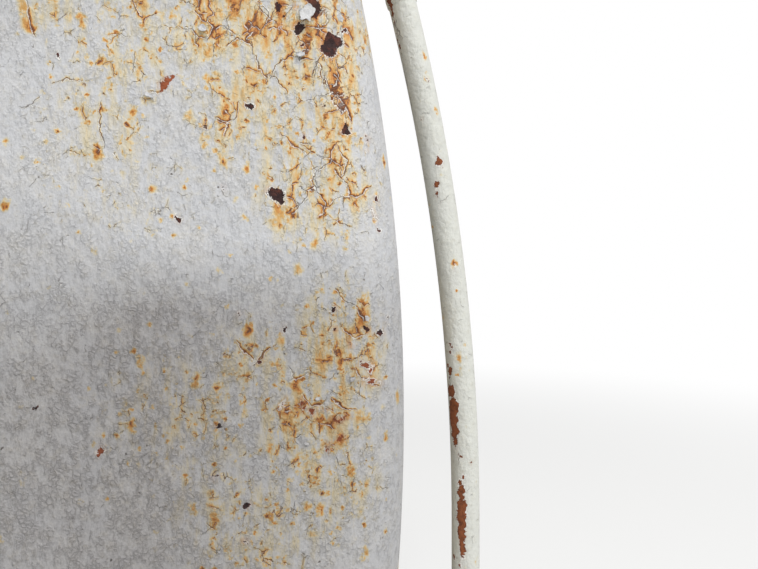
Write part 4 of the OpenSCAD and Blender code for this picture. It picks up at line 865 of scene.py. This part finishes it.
def makeHoop(name, node, end, shape, fine):
    bar, step = shape["bar"] / 2, shape["step"]
    fineStep = shape["fineStep"] if fine else step
    sideX = tankRadius + shape["standOff"]
    sideRadius = sideX + shape["bow"]
    crownZ = tankRadius + bar + shape["topGap"]
    blendTurn = math.pi / 2 - 2 * math.atan((sideRadius - shape["drop"] - crownZ) / shape["bow"])
    crownRadius = sideRadius - shape["bow"] / math.cos(blendTurn)
    crownDrop = shape["drop"] - shape["bow"] * math.tan(blendTurn)
    turnZ = axisHeight - shape["drop"]
    planeY = end * (faceY - shape["inset"])
    footZ = shape["sleeper"] - shape["sleeperFlange"] - shape["thread"]
    axis = (0.0, -1.0, 0.0)
    bm = bmesh.new()
    made = bmesh.ops.create_circle(bm, cap_ends=False, radius=bar, segments=shape["around"] if fine else 24)
    bmesh.ops.translate(bm, verts=made["verts"], vec=(sideX, planeY, footZ))
    ring = list(bm.edges)
    threadTop = shape["sleeper"] + shape["threadOver"]
    threads = steppedTo(footZ, threadTop, shape["pitch"] / 2)
    heights = threads + steppedTo(threadTop, turnZ - 0.06, step)[1:]
    heights += steppedTo(turnZ - 0.06, turnZ, fineStep)[1:]

    def growLeg(ring, fromZ, toZ, spread):
        grown = bmesh.ops.extrude_edge_only(bm, edges=ring)["geom"]
        verts = [g for g in grown if isinstance(g, bmesh.types.BMVert)]
        bmesh.ops.translate(bm, verts=verts, vec=(0, 0, toZ - fromZ))
        middle = sum((vert.co for vert in verts), Vector()) / len(verts)
        bmesh.ops.scale(bm, verts=verts, vec=(spread, spread, 1.0), space=Matrix.Translation(-middle))
        return [g for g in grown if isinstance(g, bmesh.types.BMEdge)]

    # each thread is a valley and a crest, so every other ring of the threaded part is drawn in
    crest = 1.0
    below = footZ
    for i, height in enumerate(heights[1:], 1):
        valley = shape["valley"] if i % 2 and i < len(threads) - 1 else 1.0
        ring = growLeg(ring, below, height, valley / crest)
        crest = valley
        below = height
    sideSteps = round(blendTurn * sideRadius / fineStep)
    geom = ring + list({v for edge in ring for v in edge.verts})
    sideCentre = Vector((sideX - sideRadius, planeY, turnZ))
    geom = spinChain(bm, geom, sideCentre, axis, blendTurn, sideSteps)
    crownCentre = Vector((0.0, planeY, axisHeight - crownDrop))
    crownSteps = round((math.pi - 2 * blendTurn) * crownRadius / step)
    geom = spinChain(bm, geom, crownCentre, axis, math.pi - 2 * blendTurn, crownSteps)
    farCentre = Vector((sideRadius - sideX, planeY, turnZ))
    geom = spinChain(bm, geom, farCentre, axis, blendTurn, round(blendTurn * sideRadius / step))
    ring = [g for g in geom if isinstance(g, bmesh.types.BMEdge)]
    above = turnZ
    down = list(reversed(threads + steppedTo(threadTop, turnZ, step)[1:]))
    for i, height in enumerate(down[1:], 1):
        left = len(down) - i
        valley = shape["valley"] if left % 2 and left < len(threads) - 1 and left > 1 else 1.0
        ring = growLeg(ring, above, height, valley / crest)
        crest = valley
        above = height
    bmesh.ops.holes_fill(bm, edges=[e for e in bm.edges if e.is_boundary], sides=0)
    # ground butt welds where the crown meets the side arcs
    weld = [(bar + rise, along) for rise, along in shape["weld"]]
    for side in (-1, 1):
        spot = Vector((side * (sideX - sideRadius + sideRadius * math.cos(blendTurn)), planeY,
                       turnZ + sideRadius * math.sin(blendTurn)))
        seat = Matrix.Translation(spot) @ Matrix.Rotation(-side * blendTurn, 4, "Y")
        addPart(bm, turned(weld + weld[:1], 24), seat)
    closeShape(bm)
    hoop = finishPiece(name, bm, barEnamel, node)
    return hoop, (sideX, sideRadius, turnZ, planeY)


frontHoop, hoopPlace = makeHoop("frontHoopBar", "front_hoop", -1, hoopShape, True)
rearHoop, rearPlace = makeHoop("rearHoopBar", "rear_hoop", 1, hoopShape, False)
hoopSideX, hoopSideRadius, hoopTurnZ, hoopPlaneY = hoopPlace

barPoints = pointsOf(frontHoop.data)
barZ = barPoints[:, 2]
arcZ = np.clip(barZ - hoopTurnZ, 0, None)
barCentreX = hoopSideX - hoopSideRadius + np.sqrt(np.maximum(hoopSideRadius ** 2 - arcZ ** 2, 0.0001))
barAngle = np.degrees(np.arctan2(barPoints[:, 0] - barCentreX, hoopPlaneY - barPoints[:, 1]))
barAngle = (barAngle + hoopShape["facing"] + 180.0) % 360.0 - 180.0
barHeight = (barZ - axisHeight) / mm
barWindow = {"from": 0.7, "low": -125.0, "high": 196.0}
barSeen = (barHeight > barWindow["low"]) & (barHeight < barWindow["high"])
barSeen &= barPoints[:, 0] > barWindow["from"]
barDepth = np.full(barZ.shape, -farOutside)
barRound = hoopShape["bar"] / 2 / mm * math.radians(1.0)
barRagged = shiftedPoints(barPoints, barSeen, 2.4, 1.0) + shiftedPoints(barPoints, barSeen, 1.2, 0.5)
barU, barV = barAngle * barRound + barRagged[:, 0], barHeight + barRagged[:, 1]
for height, angle, halfTurn, halfHeight in barFlakes:
    flake = (angle * barRound, height, 2 * halfTurn * barRound, 2 * halfHeight, 0)
    barDepth = np.maximum(barDepth, ovalDepth(barU, barV, flake))
barDepth = np.where(barSeen, barDepth, -farOutside)
barSeenFade = np.where(barSeen, 1.0, 0.0)
barLines = [[(angle * barRound, height) for angle, height in line] for line in barSplits]
barSide, barNear = splitSides(barU, barV, barLines, 1.6)
# darker on the side turned towards the tank: greenish dirt, and painted shade from the tank beside it
leftDirtAndShade = np.clip((-barAngle - 15) / 60, 0, 1)
for label, values in (
    ("seen", barSeenFade), ("flakeDepth", barDepth + farOutside),
    ("redness", np.clip(barDepth + 0.6, 0, 1) * 0.9),
    ("grime", barSeenFade * (0.05 + 0.4 * leftDirtAndShade)), ("rustArea", barSeenFade * 0.10),
    ("splitSide", barSide), ("splitNear", np.where(barSeen, barNear, 0.0)),
):
    writeField(frontHoop.data, label, values)
print("stage: hoops made", len(frontHoop.data.polygons), len(rearHoop.data.polygons))


# Metals of the fittings, each as twenty years of weather have left it

metalLooks = {
    # hot-dip zinc gone grey and spangled, with red rust where it has worn through
    "weatheredZincOnSteel": {"base": "#8C8D8C", "dark": "#6B6964", "spot": "#80573A", "metallic": 0.7,
                             "roughness": (0.45, 0.68), "lump": 6.0, "grain": 0.9, "spots": 0.5},
    # cast gunmetal turned brown, with green in its corners
    "tarnishedGunmetal": {"base": "#80663F", "dark": "#5A4830", "spot": "#5E7263", "metallic": 0.85,
                          "roughness": (0.38, 0.6), "lump": 9.0, "grain": 0.8, "spots": 0.35},
    # sand-cast aluminium: dull, with the sand's grain
    "sandCastAluminium": {"base": "#A3A4A3", "dark": "#6F6F6C", "spot": "#C9C8C3", "metallic": 0.85,
                          "roughness": (0.45, 0.7), "lump": 12.0, "grain": 1.3, "spots": 0.35},
    # cast iron under thin grey primer that has let rust through
    "primedCastIron": {"base": "#64686B", "dark": "#4C4F51", "spot": "#7A4A30", "metallic": 0.0,
                       "roughness": (0.5, 0.8), "lump": 10.0, "grain": 1.2, "spots": 0.5},
    # red air-drying paint on a forged bar, faded by the sun and chipped at its edges
    "fadedRedPaintOnBar": {"base": "#9E3226", "dark": "#6E2A20", "spot": "#4A2A20", "metallic": 0.0,
                           "roughness": (0.4, 0.65), "lump": 16.0, "grain": 0.7, "spots": 0.5},
    # stoved black enamel on drawn steel
    "blackStovedEnamel": {"base": "#1F2022", "dark": "#131314", "spot": "#4C443B", "metallic": 0.0,
                          "roughness": (0.22, 0.45), "lump": 20.0, "grain": 0.6, "spots": 0.3},
    # nitrile sheet, greyed by ozone
    "greyedNitrileRubber": {"base": "#2A2A2A", "dark": "#191919", "spot": "#5A5650", "metallic": 0.0,
                            "roughness": (0.7, 0.9), "lump": 10.0, "grain": 0.5, "spots": 0.5},
}


def weatheredMetal(name, look):
    material, tree = startMaterial(name)
    place = addNode(tree, "TexCoord").outputs["Object"]

    def cloud(size, detail=4.0):
        inputs = {"Vector": place, "Scale": 1 / (size * mm), "Detail": detail, "Roughness": 0.62}
        return addNode(tree, "TexNoise", inputs)

    def ramp(value, low, high, start=0.0, end=1.0):
        limits = {"Value": value, "From Min": low, "From Max": high, "To Min": start, "To Max": end}
        return addNode(tree, "MapRange", limits, interpolation_type="SMOOTHSTEP")

    def blend(amount, under, over):
        return addNode(tree, "Mix", {0: amount, "A": under, "B": over}, data_type="RGBA")

    lumps, grain, spots = cloud(look["lump"], 6.0), cloud(look["grain"], 3.0), cloud(look["lump"] * 1.7, 7.0)
    facing = addNode(tree, "SeparateXYZ", {0: addNode(tree, "NewGeometry").outputs["Normal"]}).outputs["Z"]
    wet = addNode(tree, "Math", {0: facing, 1: -0.06, 2: spots}, operation="MULTIPLY_ADD")
    tint = blend(ramp(lumps, 0.38, 0.64), toLinear(look["dark"]), toLinear(look["base"]))
    tint = blend(ramp(grain, 0.50, 0.75, 0.0, 0.35), tint, toLinear(look["dark"]))
    spotOn = ramp(wet, 0.66 - 0.2 * look["spots"], 0.74 - 0.2 * look["spots"], 0.0, 0.9)
    tint = blend(spotOn, tint, toLinear(look["spot"]))
    rough = ramp(lumps, 0.35, 0.65, look["roughness"][1], look["roughness"][0])
    rough = addNode(tree, "Math", {0: spotOn, 1: 0.25, 2: rough}, operation="MULTIPLY_ADD", use_clamp=True)
    relief = addNode(tree, "Math", {0: grain, 1: 0.00012, 2: 0.0}, operation="MULTIPLY_ADD")
    relief = addNode(tree, "Math", {0: spotOn, 1: 0.00015, 2: relief}, operation="MULTIPLY_ADD")
    bump = addNode(tree, "Bump", {"Strength": 1.0, "Distance": 1.0, "Height": relief})
    shader = addNode(tree, "BsdfPrincipled", {"Base Color": tint, "Roughness": rough, "Normal": bump,
                                              "Metallic": look["metallic"]})
    addNode(tree, "OutputMaterial", {"Surface": shader})
    return material


metals = {name: weatheredMetal(name, look) for name, look in metalLooks.items()}


def clearGlass(name, tint):
    # clear, with a film of dust; the tube's wall has a slight green
    material, tree = startMaterial(name)
    place = addNode(tree, "TexCoord").outputs["Object"]
    dust = addNode(tree, "TexNoise", {"Vector": place, "Scale": 1 / (6 * mm), "Detail": 5.0})
    limits = {"Value": dust, "From Min": 0.35, "From Max": 0.75, "To Min": 0.03, "To Max": 0.3}
    film = addNode(tree, "MapRange", limits)
    shader = addNode(tree, "BsdfPrincipled", {"Base Color": toLinear(tint), "Roughness": film, "IOR": 1.47,
                                              "Transmission Weight": 1.0})
    addNode(tree, "OutputMaterial", {"Surface": shader})
    return material


tubeGlass = clearGlass("borosilicateGlass", "#E6EFEB")
dialGlass = clearGlass("floatGlassOfDial", "#FBFCFB")
print("stage: metals and glass made")


# Screws: chamfered hexagons and cut threads

screwShape = {"flats": 1.5, "height": 0.8, "tail": 0.005, "pitch": 0.002, "chamfer": 0.08, "around": 16}


def hexagon(flats, height, base, shape=screwShape):
    bm = bmesh.new()
    corner = flats / math.sqrt(3)
    bmesh.ops.create_cone(bm, cap_ends=True, segments=6, radius1=corner, radius2=corner, depth=height,
                          matrix=Matrix.Translation((0, 0, base + height / 2)))
    rims = [edge for edge in bm.edges if abs(edge.verts[0].co.z - edge.verts[1].co.z) < height / 2]
    bmesh.ops.bevel(bm, geom=rims, offset=height * shape["chamfer"], affect="EDGES", segments=1, profile=0.5,
                    material=-1)
    return bm


def threadProfile(radius, low, high, pitch):
    count = max(1, round((high - low) / pitch))
    step = (high - low) / count
    points = []
    for i in range(count):
        points += [(radius, low + i * step), (radius - 0.4 * pitch, low + (i + 0.5) * step)]
    return points


def throughBolt(diameter, grip, shape=screwShape):
    # nut below the joint, head above it, the thread's end out of the nut
    bm = bmesh.new()
    height = shape["height"] * diameter
    low = -height - shape["tail"]
    profile = [(0.0, low)] + threadProfile(diameter / 2, low, 0.0, shape["pitch"])
    profile += [(diameter / 2, 0.0), (diameter / 2, grip + height / 2), (0.0, grip + height / 2)]
    addPart(bm, turned(profile, shape["around"]), Matrix())
    addPart(bm, hexagon(shape["flats"] * diameter, height, -height), Matrix())
    addPart(bm, hexagon(shape["flats"] * diameter, height, grip), Matrix.Rotation(0.4, 4, "Z"))
    return bm


def boltCircle(name, node, place, count, radius, firstTurn, diameter, grip):
    bolt = throughBolt(diameter, grip)
    bm = bmesh.new()
    dice = random.Random(len(name))
    for i in range(count):
        spoke = place @ Matrix.Rotation(firstTurn + 2 * math.pi * i / count, 4, "Z")
        seat = spoke @ Matrix.Translation((radius, 0, 0))
        addPart(bm, bolt, seat @ Matrix.Rotation(dice.uniform(0, math.pi), 4, "Z"), keep=True)
    bolt.free()
    return finishPiece(name, bm, metals["weatheredZincOnSteel"], node, sharp=28)


manwayShape = {"neck": 0.254, "flange": 0.070, "bolts": 16, "bolt": 0.016, "flangeThick": 0.014}
manwayLow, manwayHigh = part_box("manway_flange")
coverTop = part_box("manway_cover")[1].z
manwayMiddle = (manwayLow + manwayHigh) / 2
manwayUnder = manwayHigh.z - manwayShape["flangeThick"]
boltCircle("manwayCoverBolts", "manway_bolts",
           Matrix.Translation((manwayMiddle.x, manwayMiddle.y, manwayUnder)), manwayShape["bolts"],
           manwayShape["neck"] + manwayShape["flange"] / 2, math.pi / manwayShape["bolts"],
           manwayShape["bolt"], coverTop - manwayUnder)

flangeShape = {"thick": 0.018, "circle": 0.0605, "bolts": 4, "bolt": 0.016, "pipe": 0.030}
for label, end in (("outlet", -1), ("inlet", 1)):
    low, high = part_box(label + "_nozzle")
    joint = high.y if end > 0 else low.y  # the face between the nozzle and its valve
    middle = Vector(((low.x + high.x) / 2, joint - end * flangeShape["thick"], (low.z + high.z) / 2))
    place = Matrix.Translation(middle) @ Matrix.Rotation(math.radians(90 if end < 0 else -90), 4, "X")
    boltCircle(label + "FlangeBolts", label + "_bolts", place, flangeShape["bolts"], flangeShape["circle"],
               math.pi / 4, flangeShape["bolt"], 2 * flangeShape["thick"])


nutShape = {"flats": 0.022, "height": 0.012, "gap": 0.0002, "hole": 0.0066, "washer": 0.015,
            "washerThick": 0.003}


def hoopNuts(name, node, planeY, shape):
    # a washer, a nut and a lock nut under the sleeper's flange on each leg
    under = hoopShape["sleeper"] - hoopShape["sleeperFlange"]
    hole, washer, thick = shape["hole"], shape["washer"], shape["washerThick"]
    outline = [(hole, -thick), (washer, -thick), (washer, 0.0), (hole, 0.0), (hole, -thick)]
    bm = bmesh.new()
    for side in (-1, 1):
        foot = Matrix.Translation((side * hoopSideX, planeY, under))
        addPart(bm, turned(outline, 32), foot)
        for i in (1, 2):
            nut = hexagon(shape["flats"], shape["height"] - shape["gap"], -thick - i * shape["height"])
            addPart(bm, nut, foot @ Matrix.Rotation(0.35 * i * side, 4, "Z"))
    return finishPiece(name, bm, metals["weatheredZincOnSteel"], node, sharp=28)


hoopNuts("frontHoopNuts", "front_hoop_nuts", hoopPlaneY, nutShape)
hoopNuts("rearHoopNuts", "rear_hoop_nuts", rearPlace[-1], nutShape)
print("stage: screws made")


# Weld beads: stick-welded, so each bead is a row of overlapping crescents

beadShape = {"width": 0.012, "height": 0.0017, "ripple": 0.0075, "perRipple": 4, "root": 0.0012,
             "fillet": 0.006, "lag": 0.0016, "taper": 0.012}


def rippledHeight(along, shape, seed):
    # how full the bead is at this length along it
    phase = (along / shape["ripple"]) % 1.0
    slow = noise.noise(Vector((along * 9.0, seed, 0.0)))
    return 0.84 + 0.16 * math.sin(math.pi * phase) - 0.12 * abs(slow)


def layBead(bm, section, length, placeAt, shape, seed, closed=True):
    # section goes once around the bead as (across, up); placeAt turns (along, across, up) into a place
    steps = max(24, round(length / shape["ripple"]) * shape["perRipple"])
    rows = len(section)
    grid = bmesh.new()
    bmesh.ops.create_grid(grid, x_segments=steps, y_segments=rows, size=0.5)
    widest = max(abs(across) for across, up in section)
    for vert in grid.verts:
        along = (vert.co.x + 0.5) * length
        across, up = section[round((vert.co.y + 0.5) * rows) % rows]
        if up > 0:
            lag = shape["lag"] * (1 - (across / widest) ** 2)
            # the seam of a closed bead falls on a whole ripple, so its two ends agree
            up *= rippledHeight((along + lag) % length if closed else along + lag, shape, seed)
        if not closed:
            ends = min(1.0, min(along, length - along) / shape["taper"])
            across *= math.sqrt(ends)
            up *= math.sqrt(ends)
        vert.co = placeAt(along, across, up)
    bmesh.ops.remove_doubles(grid, verts=grid.verts, dist=1e-6)
    bmesh.ops.recalc_face_normals(grid, faces=grid.faces)
    addPart(bm, grid, Matrix())


def crownSection(shape):
    half = shape["width"] / 2
    shares = (-1, -0.8, -0.4, 0, 0.4, 0.8, 1)
    arch = [(half * share, shape["height"] * (1 - share * share)) for share in shares]
    return arch + [(half, -shape["root"]), (-half, -shape["root"])]


bm = bmesh.new()
for i, place in enumerate((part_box("front_head")[1].y, 0.0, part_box("rear_head")[0].y)):
    def onRing(along, across, up, place=place):
        angle = along / tankRadius
        radius = tankRadius + up
        return Vector((radius * math.sin(angle), place + across, axisHeight + radius * math.cos(angle)))

    layBead(bm, crownSection(beadShape), 2 * math.pi * tankRadius, onRing, beadShape, 3.0 * i)
finishPiece("girthWeldBeads", bm, fittingEnamel, "girth_welds")

bm = bmesh.new()
seamShape = {"turn": 38.0, "cut": 0.0063}
for side, label in ((-1, "front_shell_course"), (1, "rear_shell_course")):
    low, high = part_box(label)

    def onSeam(along, across, up, start=low.y + seamShape["cut"], side=side):
        angle = side * math.radians(seamShape["turn"]) + across / tankRadius
        radius = tankRadius + up
        return Vector((radius * math.sin(angle), start + along, axisHeight + radius * math.cos(angle)))

    length = high.y - low.y - 2 * seamShape["cut"]
    layBead(bm, crownSection(beadShape), length, onSeam, beadShape, 20.0 + side, closed=False)
finishPiece("seamWeldBeads", bm, fittingEnamel, "seam_welds")


def ringFillet(bm, radius, place, shape, drape=0.0):
    # a fillet bead around a pipe that stands on a plate, or on the shell where drape is its radius
    size = shape["fillet"]
    section = [(-0.0015, size), (0.0008, size * 0.95), (size * 0.42, size * 0.46), (size * 0.95, 0.0008),
               (size, -0.0015), (-0.0015, -0.0015)]

    def around(along, across, up):
        angle = along / radius
        x, y = (radius + across) * math.cos(angle), (radius + across) * math.sin(angle)
        if drape:
            up += math.sqrt(drape * drape - x * x) - drape
        return place @ Vector((x, y, up))

    layBead(bm, section, 2 * math.pi * radius, around, shape, radius * 31.0)


bm = bmesh.new()
topHeight = axisHeight + tankRadius
for label in ("fill_coupling", "relief_coupling", "gauge_coupling"):
    low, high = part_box(label)
    seat = Matrix.Translation((0, (low.y + high.y) / 2, topHeight))
    ringFillet(bm, (high.x - low.x) / 2, seat, beadShape, tankRadius)
low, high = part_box("manway_pad")
padRadius, padThick = (high.y - low.y) / 2, 0.006
padBead = {**beadShape, "fillet": 0.005}
ringFillet(bm, padRadius, Matrix.Translation((0, manwayMiddle.y, topHeight)), padBead, tankRadius)
ringFillet(bm, manwayShape["neck"], Matrix.Translation((0, manwayMiddle.y, topHeight + padThick)), beadShape,
           tankRadius + padThick)
nozzleLow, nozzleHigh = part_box("outlet_nozzle")
for end in (-1, 1):
    turn = Matrix.Rotation(math.radians(-90 * end), 4, "X")
    seat = Matrix.Translation((0, end * faceY, (nozzleLow.z + nozzleHigh.z) / 2))
    ringFillet(bm, flangeShape["pipe"], seat @ turn, beadShape)
low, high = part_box("drain_coupling")
seat = Matrix.Translation((0, (low.y + high.y) / 2, axisHeight - tankRadius))
ringFillet(bm, (high.x - low.x) / 2, seat @ Matrix.Rotation(math.pi, 4, "X"), beadShape, tankRadius)
finishPiece("fittingWeldBeads", bm, fittingEnamel)
print("stage: weld beads made")


# Pressure gauge: white dial with numbers, a needle at rest and a flat glass

gaugeShape = {"sink": 0.004, "dial": 0.0448, "sweep": 270.0, "marks": 30, "perNumber": 5,
              "mark": (0.0035, 0.0005), "bigMark": (0.006, 0.0009), "markEdge": 0.004,
              "numberSize": 0.0085, "numberEdge": 0.0165, "needle": 0.034, "glassBack": 0.0012}


def flatColour(name, hexCode, roughness):
    # printed or painted sheet metal, a little uneven in gloss
    material, tree = startMaterial(name)
    place = addNode(tree, "TexCoord").outputs["Object"]
    haze = addNode(tree, "TexNoise", {"Vector": place, "Scale": 1 / (9 * mm), "Detail": 5.0})
    gloss = {"Value": haze, "From Min": 0.3, "From Max": 0.7, "To Min": roughness - 0.1,
             "To Max": roughness + 0.15}
    rough = addNode(tree, "MapRange", gloss)
    yellow = {"Value": haze, "From Min": 0.4, "From Max": 0.8, "To Min": 0.0, "To Max": 0.35}
    aged = addNode(tree, "MapRange", yellow)
    tint = addNode(tree, "Mix", {0: aged, "A": toLinear(hexCode), "B": toLinear("#8E8468")}, data_type="RGBA")
    shader = addNode(tree, "BsdfPrincipled", {"Base Color": tint, "Roughness": rough})
    addNode(tree, "OutputMaterial", {"Surface": shader})
    return material


def dialMark(bm, place, length, width):
    bar = bmesh.new()
    bmesh.ops.create_cube(bar, size=1.0)
    bmesh.ops.scale(bar, verts=bar.verts, vec=(width, length, 0.0002))
    addPart(bm, bar, place)


def dialNumber(bm, text, size, place):
    curve = bpy.data.curves.new("dialNumber", "FONT")
    curve.body = text
    curve.size = size
    curve.align_x = "CENTER"
    curve.align_y = "CENTER"
    curve.extrude = 0.0001
    writing = bpy.data.objects.new("dialNumber", curve)
    scene.collection.objects.link(writing)
    bpy.context.view_layer.update()
    mesh = bpy.data.meshes.new_from_object(writing.evaluated_get(bpy.context.evaluated_depsgraph_get()))
    mesh.transform(place)
    bm.from_mesh(mesh)
    bpy.data.objects.remove(writing)
    bpy.data.curves.remove(curve)
    bpy.data.meshes.remove(mesh)


def makeGauge(shape):
    low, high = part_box("pressure_gauge")
    radius = (high.x - low.x) / 2
    centre = Vector(((low.x + high.x) / 2, low.y + shape["sink"], high.z - radius))
    face = Matrix.Translation(centre) @ Matrix.Rotation(math.radians(90), 4, "X")  # its Z points to the front
    dial, glassEdge = shape["dial"], shape["dial"] + 0.0001
    plate = turned([(0.0, 0.0), (dial, 0.0), (dial, 0.0008), (0.0, 0.0008)], 64)
    bm = bmesh.new()
    addPart(bm, plate, face)
    paint = flatColour("whiteDialPaint", "#E8E5DA", 0.45)
    finishPiece("gaugeDialPlate", bm, paint, None, sharp=30)
    bm = bmesh.new()
    for i in range(shape["marks"] + 1):
        turn = math.radians(shape["sweep"] / 2 - shape["sweep"] * i / shape["marks"])
        numbered = i % shape["perNumber"] == 0
        length, width = shape["bigMark" if numbered else "mark"]
        spoke = face @ Matrix.Rotation(turn, 4, "Z")
        spot = spoke @ Matrix.Translation((0, dial - shape["markEdge"] - length / 2, 0.001))
        dialMark(bm, spot, length, width)
        if numbered:
            spot = spoke @ Matrix.Translation((0, dial - shape["numberEdge"], 0.001))
            dialNumber(bm, str(i), shape["numberSize"], spot @ Matrix.Rotation(-turn, 4, "Z"))
    rest = face @ Matrix.Rotation(math.radians(shape["sweep"] / 2 - 3), 4, "Z")
    needle = bmesh.new()
    bmesh.ops.create_cone(needle, cap_ends=True, segments=4, radius1=0.0022, radius2=0.0003,
                          depth=shape["needle"] * 1.3, matrix=Matrix.Rotation(math.radians(-90), 4, "X"))
    bmesh.ops.scale(needle, verts=needle.verts, vec=(1.0, 1.0, 0.2))
    addPart(bm, needle, rest @ Matrix.Translation((0, shape["needle"] * 0.35, 0.0019)))
    hub = [(0.0, 0.0), (0.0042, 0.0), (0.0042, 0.002), (0.003, 0.0026), (0.0, 0.0026)]
    addPart(bm, turned(hub, 24), face)
    ink = flatColour("blackDialInk", "#1B1B1B", 0.4)
    finishPiece("gaugeMarksAndNeedle", bm, ink, None, sharp=30)
    glass = turned([(0.0, 0.0), (glassEdge, 0.0), (glassEdge, 0.0006), (0.0, 0.0006)], 64)
    bm = bmesh.new()
    addPart(bm, glass, face @ Matrix.Translation((0, 0, shape["sink"] - shape["glassBack"])))
    finishPiece("gaugeGlass", bm, dialGlass, None, sharp=30)


makeGauge(gaugeShape)
print("stage: gauge made")


# The other nodes keep their solids, with the finish of what they are

nodeFinish = {
    "supportEnamel": ["front_channel", "rear_channel", "front_saddle", "rear_saddle", "front_wear_plate",
                      "rear_wear_plate"],
    "fittingEnamel": ["manway_pad", "manway_neck", "manway_flange", "manway_cover", "manway_handles",
                      "fill_coupling", "relief_coupling", "gauge_coupling", "outlet_nozzle", "inlet_nozzle",
                      "front_lifting_lug", "rear_lifting_lug", "drain_coupling"],
    "shellEnamel": ["front_shell_course", "rear_shell_course"],
    "weatheredZincOnSteel": ["sight_glass_guards", "drain_plug"],
    "tarnishedGunmetal": ["relief_valve", "gauge_stem", "sight_glass_cocks"],
    "sandCastAluminium": ["fill_cap"],
    "primedCastIron": ["outlet_valve", "inlet_valve"],
    "fadedRedPaintOnBar": ["outlet_lever", "inlet_lever"],
    "blackStovedEnamel": ["pressure_gauge"],
    "greyedNitrileRubber": ["manway_gasket"],
    "borosilicateGlass": ["sight_glass_tube"],
}
finishes = {"supportEnamel": supportEnamel, "fittingEnamel": fittingEnamel, "shellEnamel": shellEnamel,
            "borosilicateGlass": tubeGlass, **metals}
for finish, labels in nodeFinish.items():
    for label in labels:
        slots = nodes[label].data.materials
        slots.clear()
        slots.append(finishes[finish])
print("stage: finishes given to the solids")


# Floor, backdrop and light

stageLook = {"paper": "#E9E9E7", "shadowKept": 0.5, "fadeFrom": 2.2, "fadeTo": 7.0}


def backdropRay(tree):
    # 1 for rays that show the background: straight from the camera, or in a reflection or through glass
    paths = addNode(tree, "LightPath").outputs
    shown = {0: paths["Is Camera Ray"], 1: paths["Is Glossy Ray"]}
    shown = {0: addNode(tree, "Math", shown, operation="MAXIMUM"), 1: paths["Is Transmission Ray"]}
    return addNode(tree, "Math", shown, operation="MAXIMUM")


def palePaper(name, look):
    # white paper that keeps the shadow near the object and fades into the white background further out
    material, tree = startMaterial(name)
    place = addNode(tree, "TexCoord").outputs["Object"]
    away = addNode(tree, "VectorMath", {0: place}, operation="LENGTH").outputs["Value"]
    fade = addNode(tree, "MapRange", {"Value": away, "From Min": look["fadeFrom"], "From Max": look["fadeTo"],
                                      "To Min": 1.0 - look["shadowKept"], "To Max": 1.0},
                   interpolation_type="SMOOTHSTEP")
    whiteShare = addNode(tree, "Math", {0: fade, 1: backdropRay(tree)}, operation="MULTIPLY")
    paper = addNode(tree, "BsdfDiffuse", {"Color": toLinear(look["paper"])})
    white = addNode(tree, "Emission", {"Color": (1.0, 1.0, 1.0, 1.0), "Strength": 1.0})
    mixed = addNode(tree, "MixShader", {0: whiteShare, 1: paper, 2: white})
    addNode(tree, "OutputMaterial", {"Surface": mixed})
    return material


floorMesh = bpy.data.meshes.new("floor")
bm = bmesh.new()
bmesh.ops.create_grid(bm, x_segments=1, y_segments=1, size=15.0)
bm.to_mesh(floorMesh)
bm.free()
floor = bpy.data.objects.new("floor", floorMesh)
floor.location = (0.0, 0.0, -0.0005)
floorMesh.materials.append(palePaper("palePaperFloor", stageLook))
scene.collection.objects.link(floor)

skyStrength = 0.53
world = bpy.data.worlds.new("softSky")
scene.world = world
world.use_nodes = True
tree = world.node_tree
tree.nodes.clear()
sky = addNode(tree, "Background", {"Color": (1.0, 1.0, 1.0, 1.0), "Strength": skyStrength})
white = addNode(tree, "Background", {"Color": (1.0, 1.0, 1.0, 1.0), "Strength": 1.0})
mixed = addNode(tree, "MixShader", {0: backdropRay(tree), 1: sky, 2: white})
addNode(tree, "OutputWorld", {"Surface": mixed})

lampTarget = Vector((0.0, -0.6, 1.0))
lamps = {
    "overcastKey": {"place": (3.6, -4.2, 4.6), "size": 2.4, "watts": 150.0},
    "overcastZenith": {"place": (0.4, -5.0, 9.5), "size": 4.0, "watts": 420.0},
}
for label, lamp in lamps.items():
    lampData = bpy.data.lights.new(label, "AREA")
    lampData.shape = "DISK"
    lampData.size = lamp["size"]
    lampData.energy = lamp["watts"]
    lampObject = bpy.data.objects.new(label, lampData)
    lampObject.location = lamp["place"]
    aim = lampTarget - Vector(lamp["place"])
    lampObject.rotation_euler = aim.to_track_quat("-Z", "Y").to_euler()
    scene.collection.objects.link(lampObject)
print("stage: light set")
